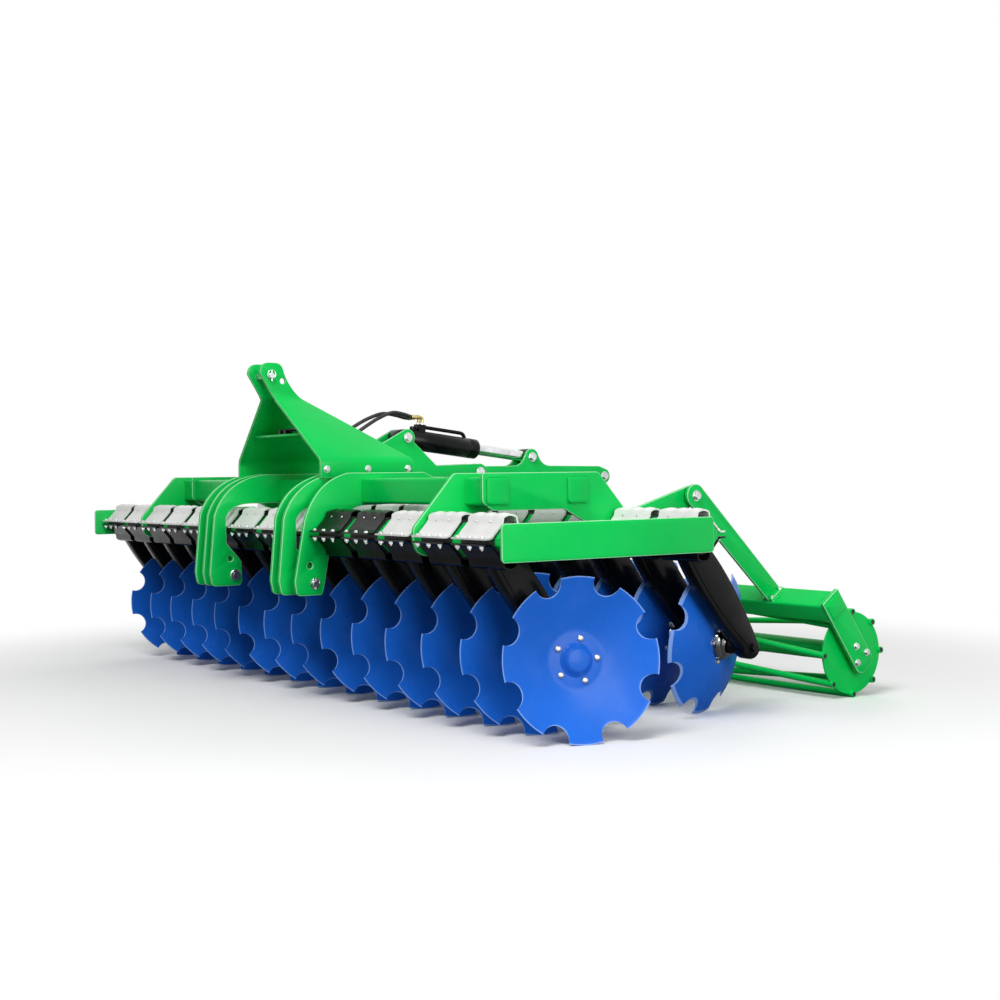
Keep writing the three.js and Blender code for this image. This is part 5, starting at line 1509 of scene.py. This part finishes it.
def add_end_plates(beam_bottom):
    half, low = ROLLER_PLATE_WIDTH / 2, -ROLLER_PLATE_BELOW
    outline = plate_outline((low, -half + 0.020), (low, half - 0.020), (low + 0.020, half),
                            (ROLLER_PLATE_ABOVE, half), (ROLLER_PLATE_ABOVE, -half), (low + 0.020, -half))
    outline.softened(0.006)
    low, high = beam_bottom + 0.004, ROLLER_BEAM_TOP - 0.004
    patch = plate_outline((low, -0.040), (low, 0.040), (high, 0.040), (high, -0.040)).softened(0.010)
    for side, name in SIDES:
        face = side * (ROLLER_PLATE_X + ROLLER_PLATE_THICKNESS)
        plate_piece(f"roller_end_plate_{name}_cut", "roller_frame",
                    [side_mesh([outline], side * ROLLER_PLATE_X, face)], [f"roller_end_plate_{name}"])
        piece(f"roller_beam_end_{name}", "roller_frame",
              [side_mesh([patch], face - side * 0.002, face + side * 0.004, 0.002)], "green")
        bolt_piece(f"roller_bearing_bolts_{name}", "roller_frame",
                   [(hex_bolt(0.0125), sideways(face, on_plate(up, across), side))
                    for up, across in ((0.038, 0.0), (-0.019, -0.033), (-0.019, 0.033))])


def add_roller_arm(side, near, name):
    far = near + side * ROLLER_ARM_THICKNESS
    low = ROLLER_BEAM_TOP + SEAT_GAP
    high = low + 0.012
    wide = ROLLER_ARM_HALF_WIDTH
    arm = Outline(on_plate(low, wide - 0.008)).arc(ARM_PIVOT, wide, 36, 230).line(on_plate(low, -wide))
    foot = plate_outline((low, -wide), (low, wide - 0.008), (high, wide - 0.008), (high, -wide))
    plate_piece(f"roller_arm_{name}_cut", "roller_frame",
                [side_mesh([arm, circle(ARM_PIVOT, ARM_PIN_RADIUS + 0.0005)], near, far),
                 side_mesh([foot], near - side * 0.020, far + side * 0.020)], [f"roller_arm_{name}"])
    up = on_plate(1, 0) - on_plate(0, 0)
    bolt_piece(f"roller_arm_bolts_{name}", "roller_frame",
               [(hex_bolt(0.0085), aim((x, *on_plate(high, across)), (0, *up)))
                for across in (-wide + 0.014, wide - 0.022)
                for x in (near - side * 0.010, far + side * 0.010)])


def bar_path(index, radius, steps=40):
    """The middle of one wound bar of the cage."""
    path = []
    for step in range(steps + 1):
        angle = index * 2 * math.pi / ROLLER_BARS + ROLLER_TWIST * step / steps
        x = -ROLLER_HALF_LENGTH + 2 * ROLLER_HALF_LENGTH * step / steps
        path.append(Vector((x, radius * math.cos(angle), radius * math.sin(angle))))
    return path


def add_cage():
    radius = ROLLER_RADIUS - ROLLER_BAR_RADIUS
    place = Matrix.Translation((0, ROLLER_AXIS_Y, ROLLER_AXIS_Z))
    # A thin near-black disc on each bar's end: painted shade of the bore's dark inside.
    bore = drum_mesh(0.0095, 0, 0.0012, 20)
    bars, bores = [], []
    for index in range(ROLLER_BARS):
        path = bar_path(index, radius)
        bars.append((sweep_mesh(path, ROLLER_BAR_RADIUS, 20), place))
        for tip, inner in ((path[0], path[1]), (path[-1], path[-2])):
            bores.append((bore, place @ aim(tip + (inner - tip).normalized() * 0.0008, tip - inner)))
    outermost = ROLLER_HALF_LENGTH - 0.010 - ROLLER_DISC_THICKNESS / 2
    half = ROLLER_DISC_THICKNESS / 2
    sheet = drum_mesh(radius, -half, half, 64, 0.001)
    sheets = [(sheet, place @ sideways(-outermost + 2 * outermost * index / (ROLLER_DISCS - 1), (0, 0)))
              for index in range(ROLLER_DISCS)]
    stub_end = ROLLER_PLATE_X + ROLLER_PLATE_THICKNESS - 0.001
    turned = [(drum_mesh(0.038, -outermost, outermost, 36), place @ sideways(0, (0, 0))),
              (drum_mesh(0.0245, -stub_end, stub_end, 36), place @ sideways(0, (0, 0)))]
    piece("cage_bars", "cage", bars, "green", ["cage_roller"], 50)
    piece("cage_bar_bores", "cage", bores, "hole")
    piece("cage_discs", "cage", sheets, "green")
    piece("cage_shaft", "cage", turned, "green")


# ---------------------------------------------------------------- the whole machine

add_discs()
for gang_row in ROWS:
    add_gang(gang_row)
add_main_frame()
add_hitch()
add_headstock()
add_linkage()
add_cylinder()
add_hoses()
add_roller_frame()
add_cage()

bpy.context.scene.view_settings.view_transform = "Standard"
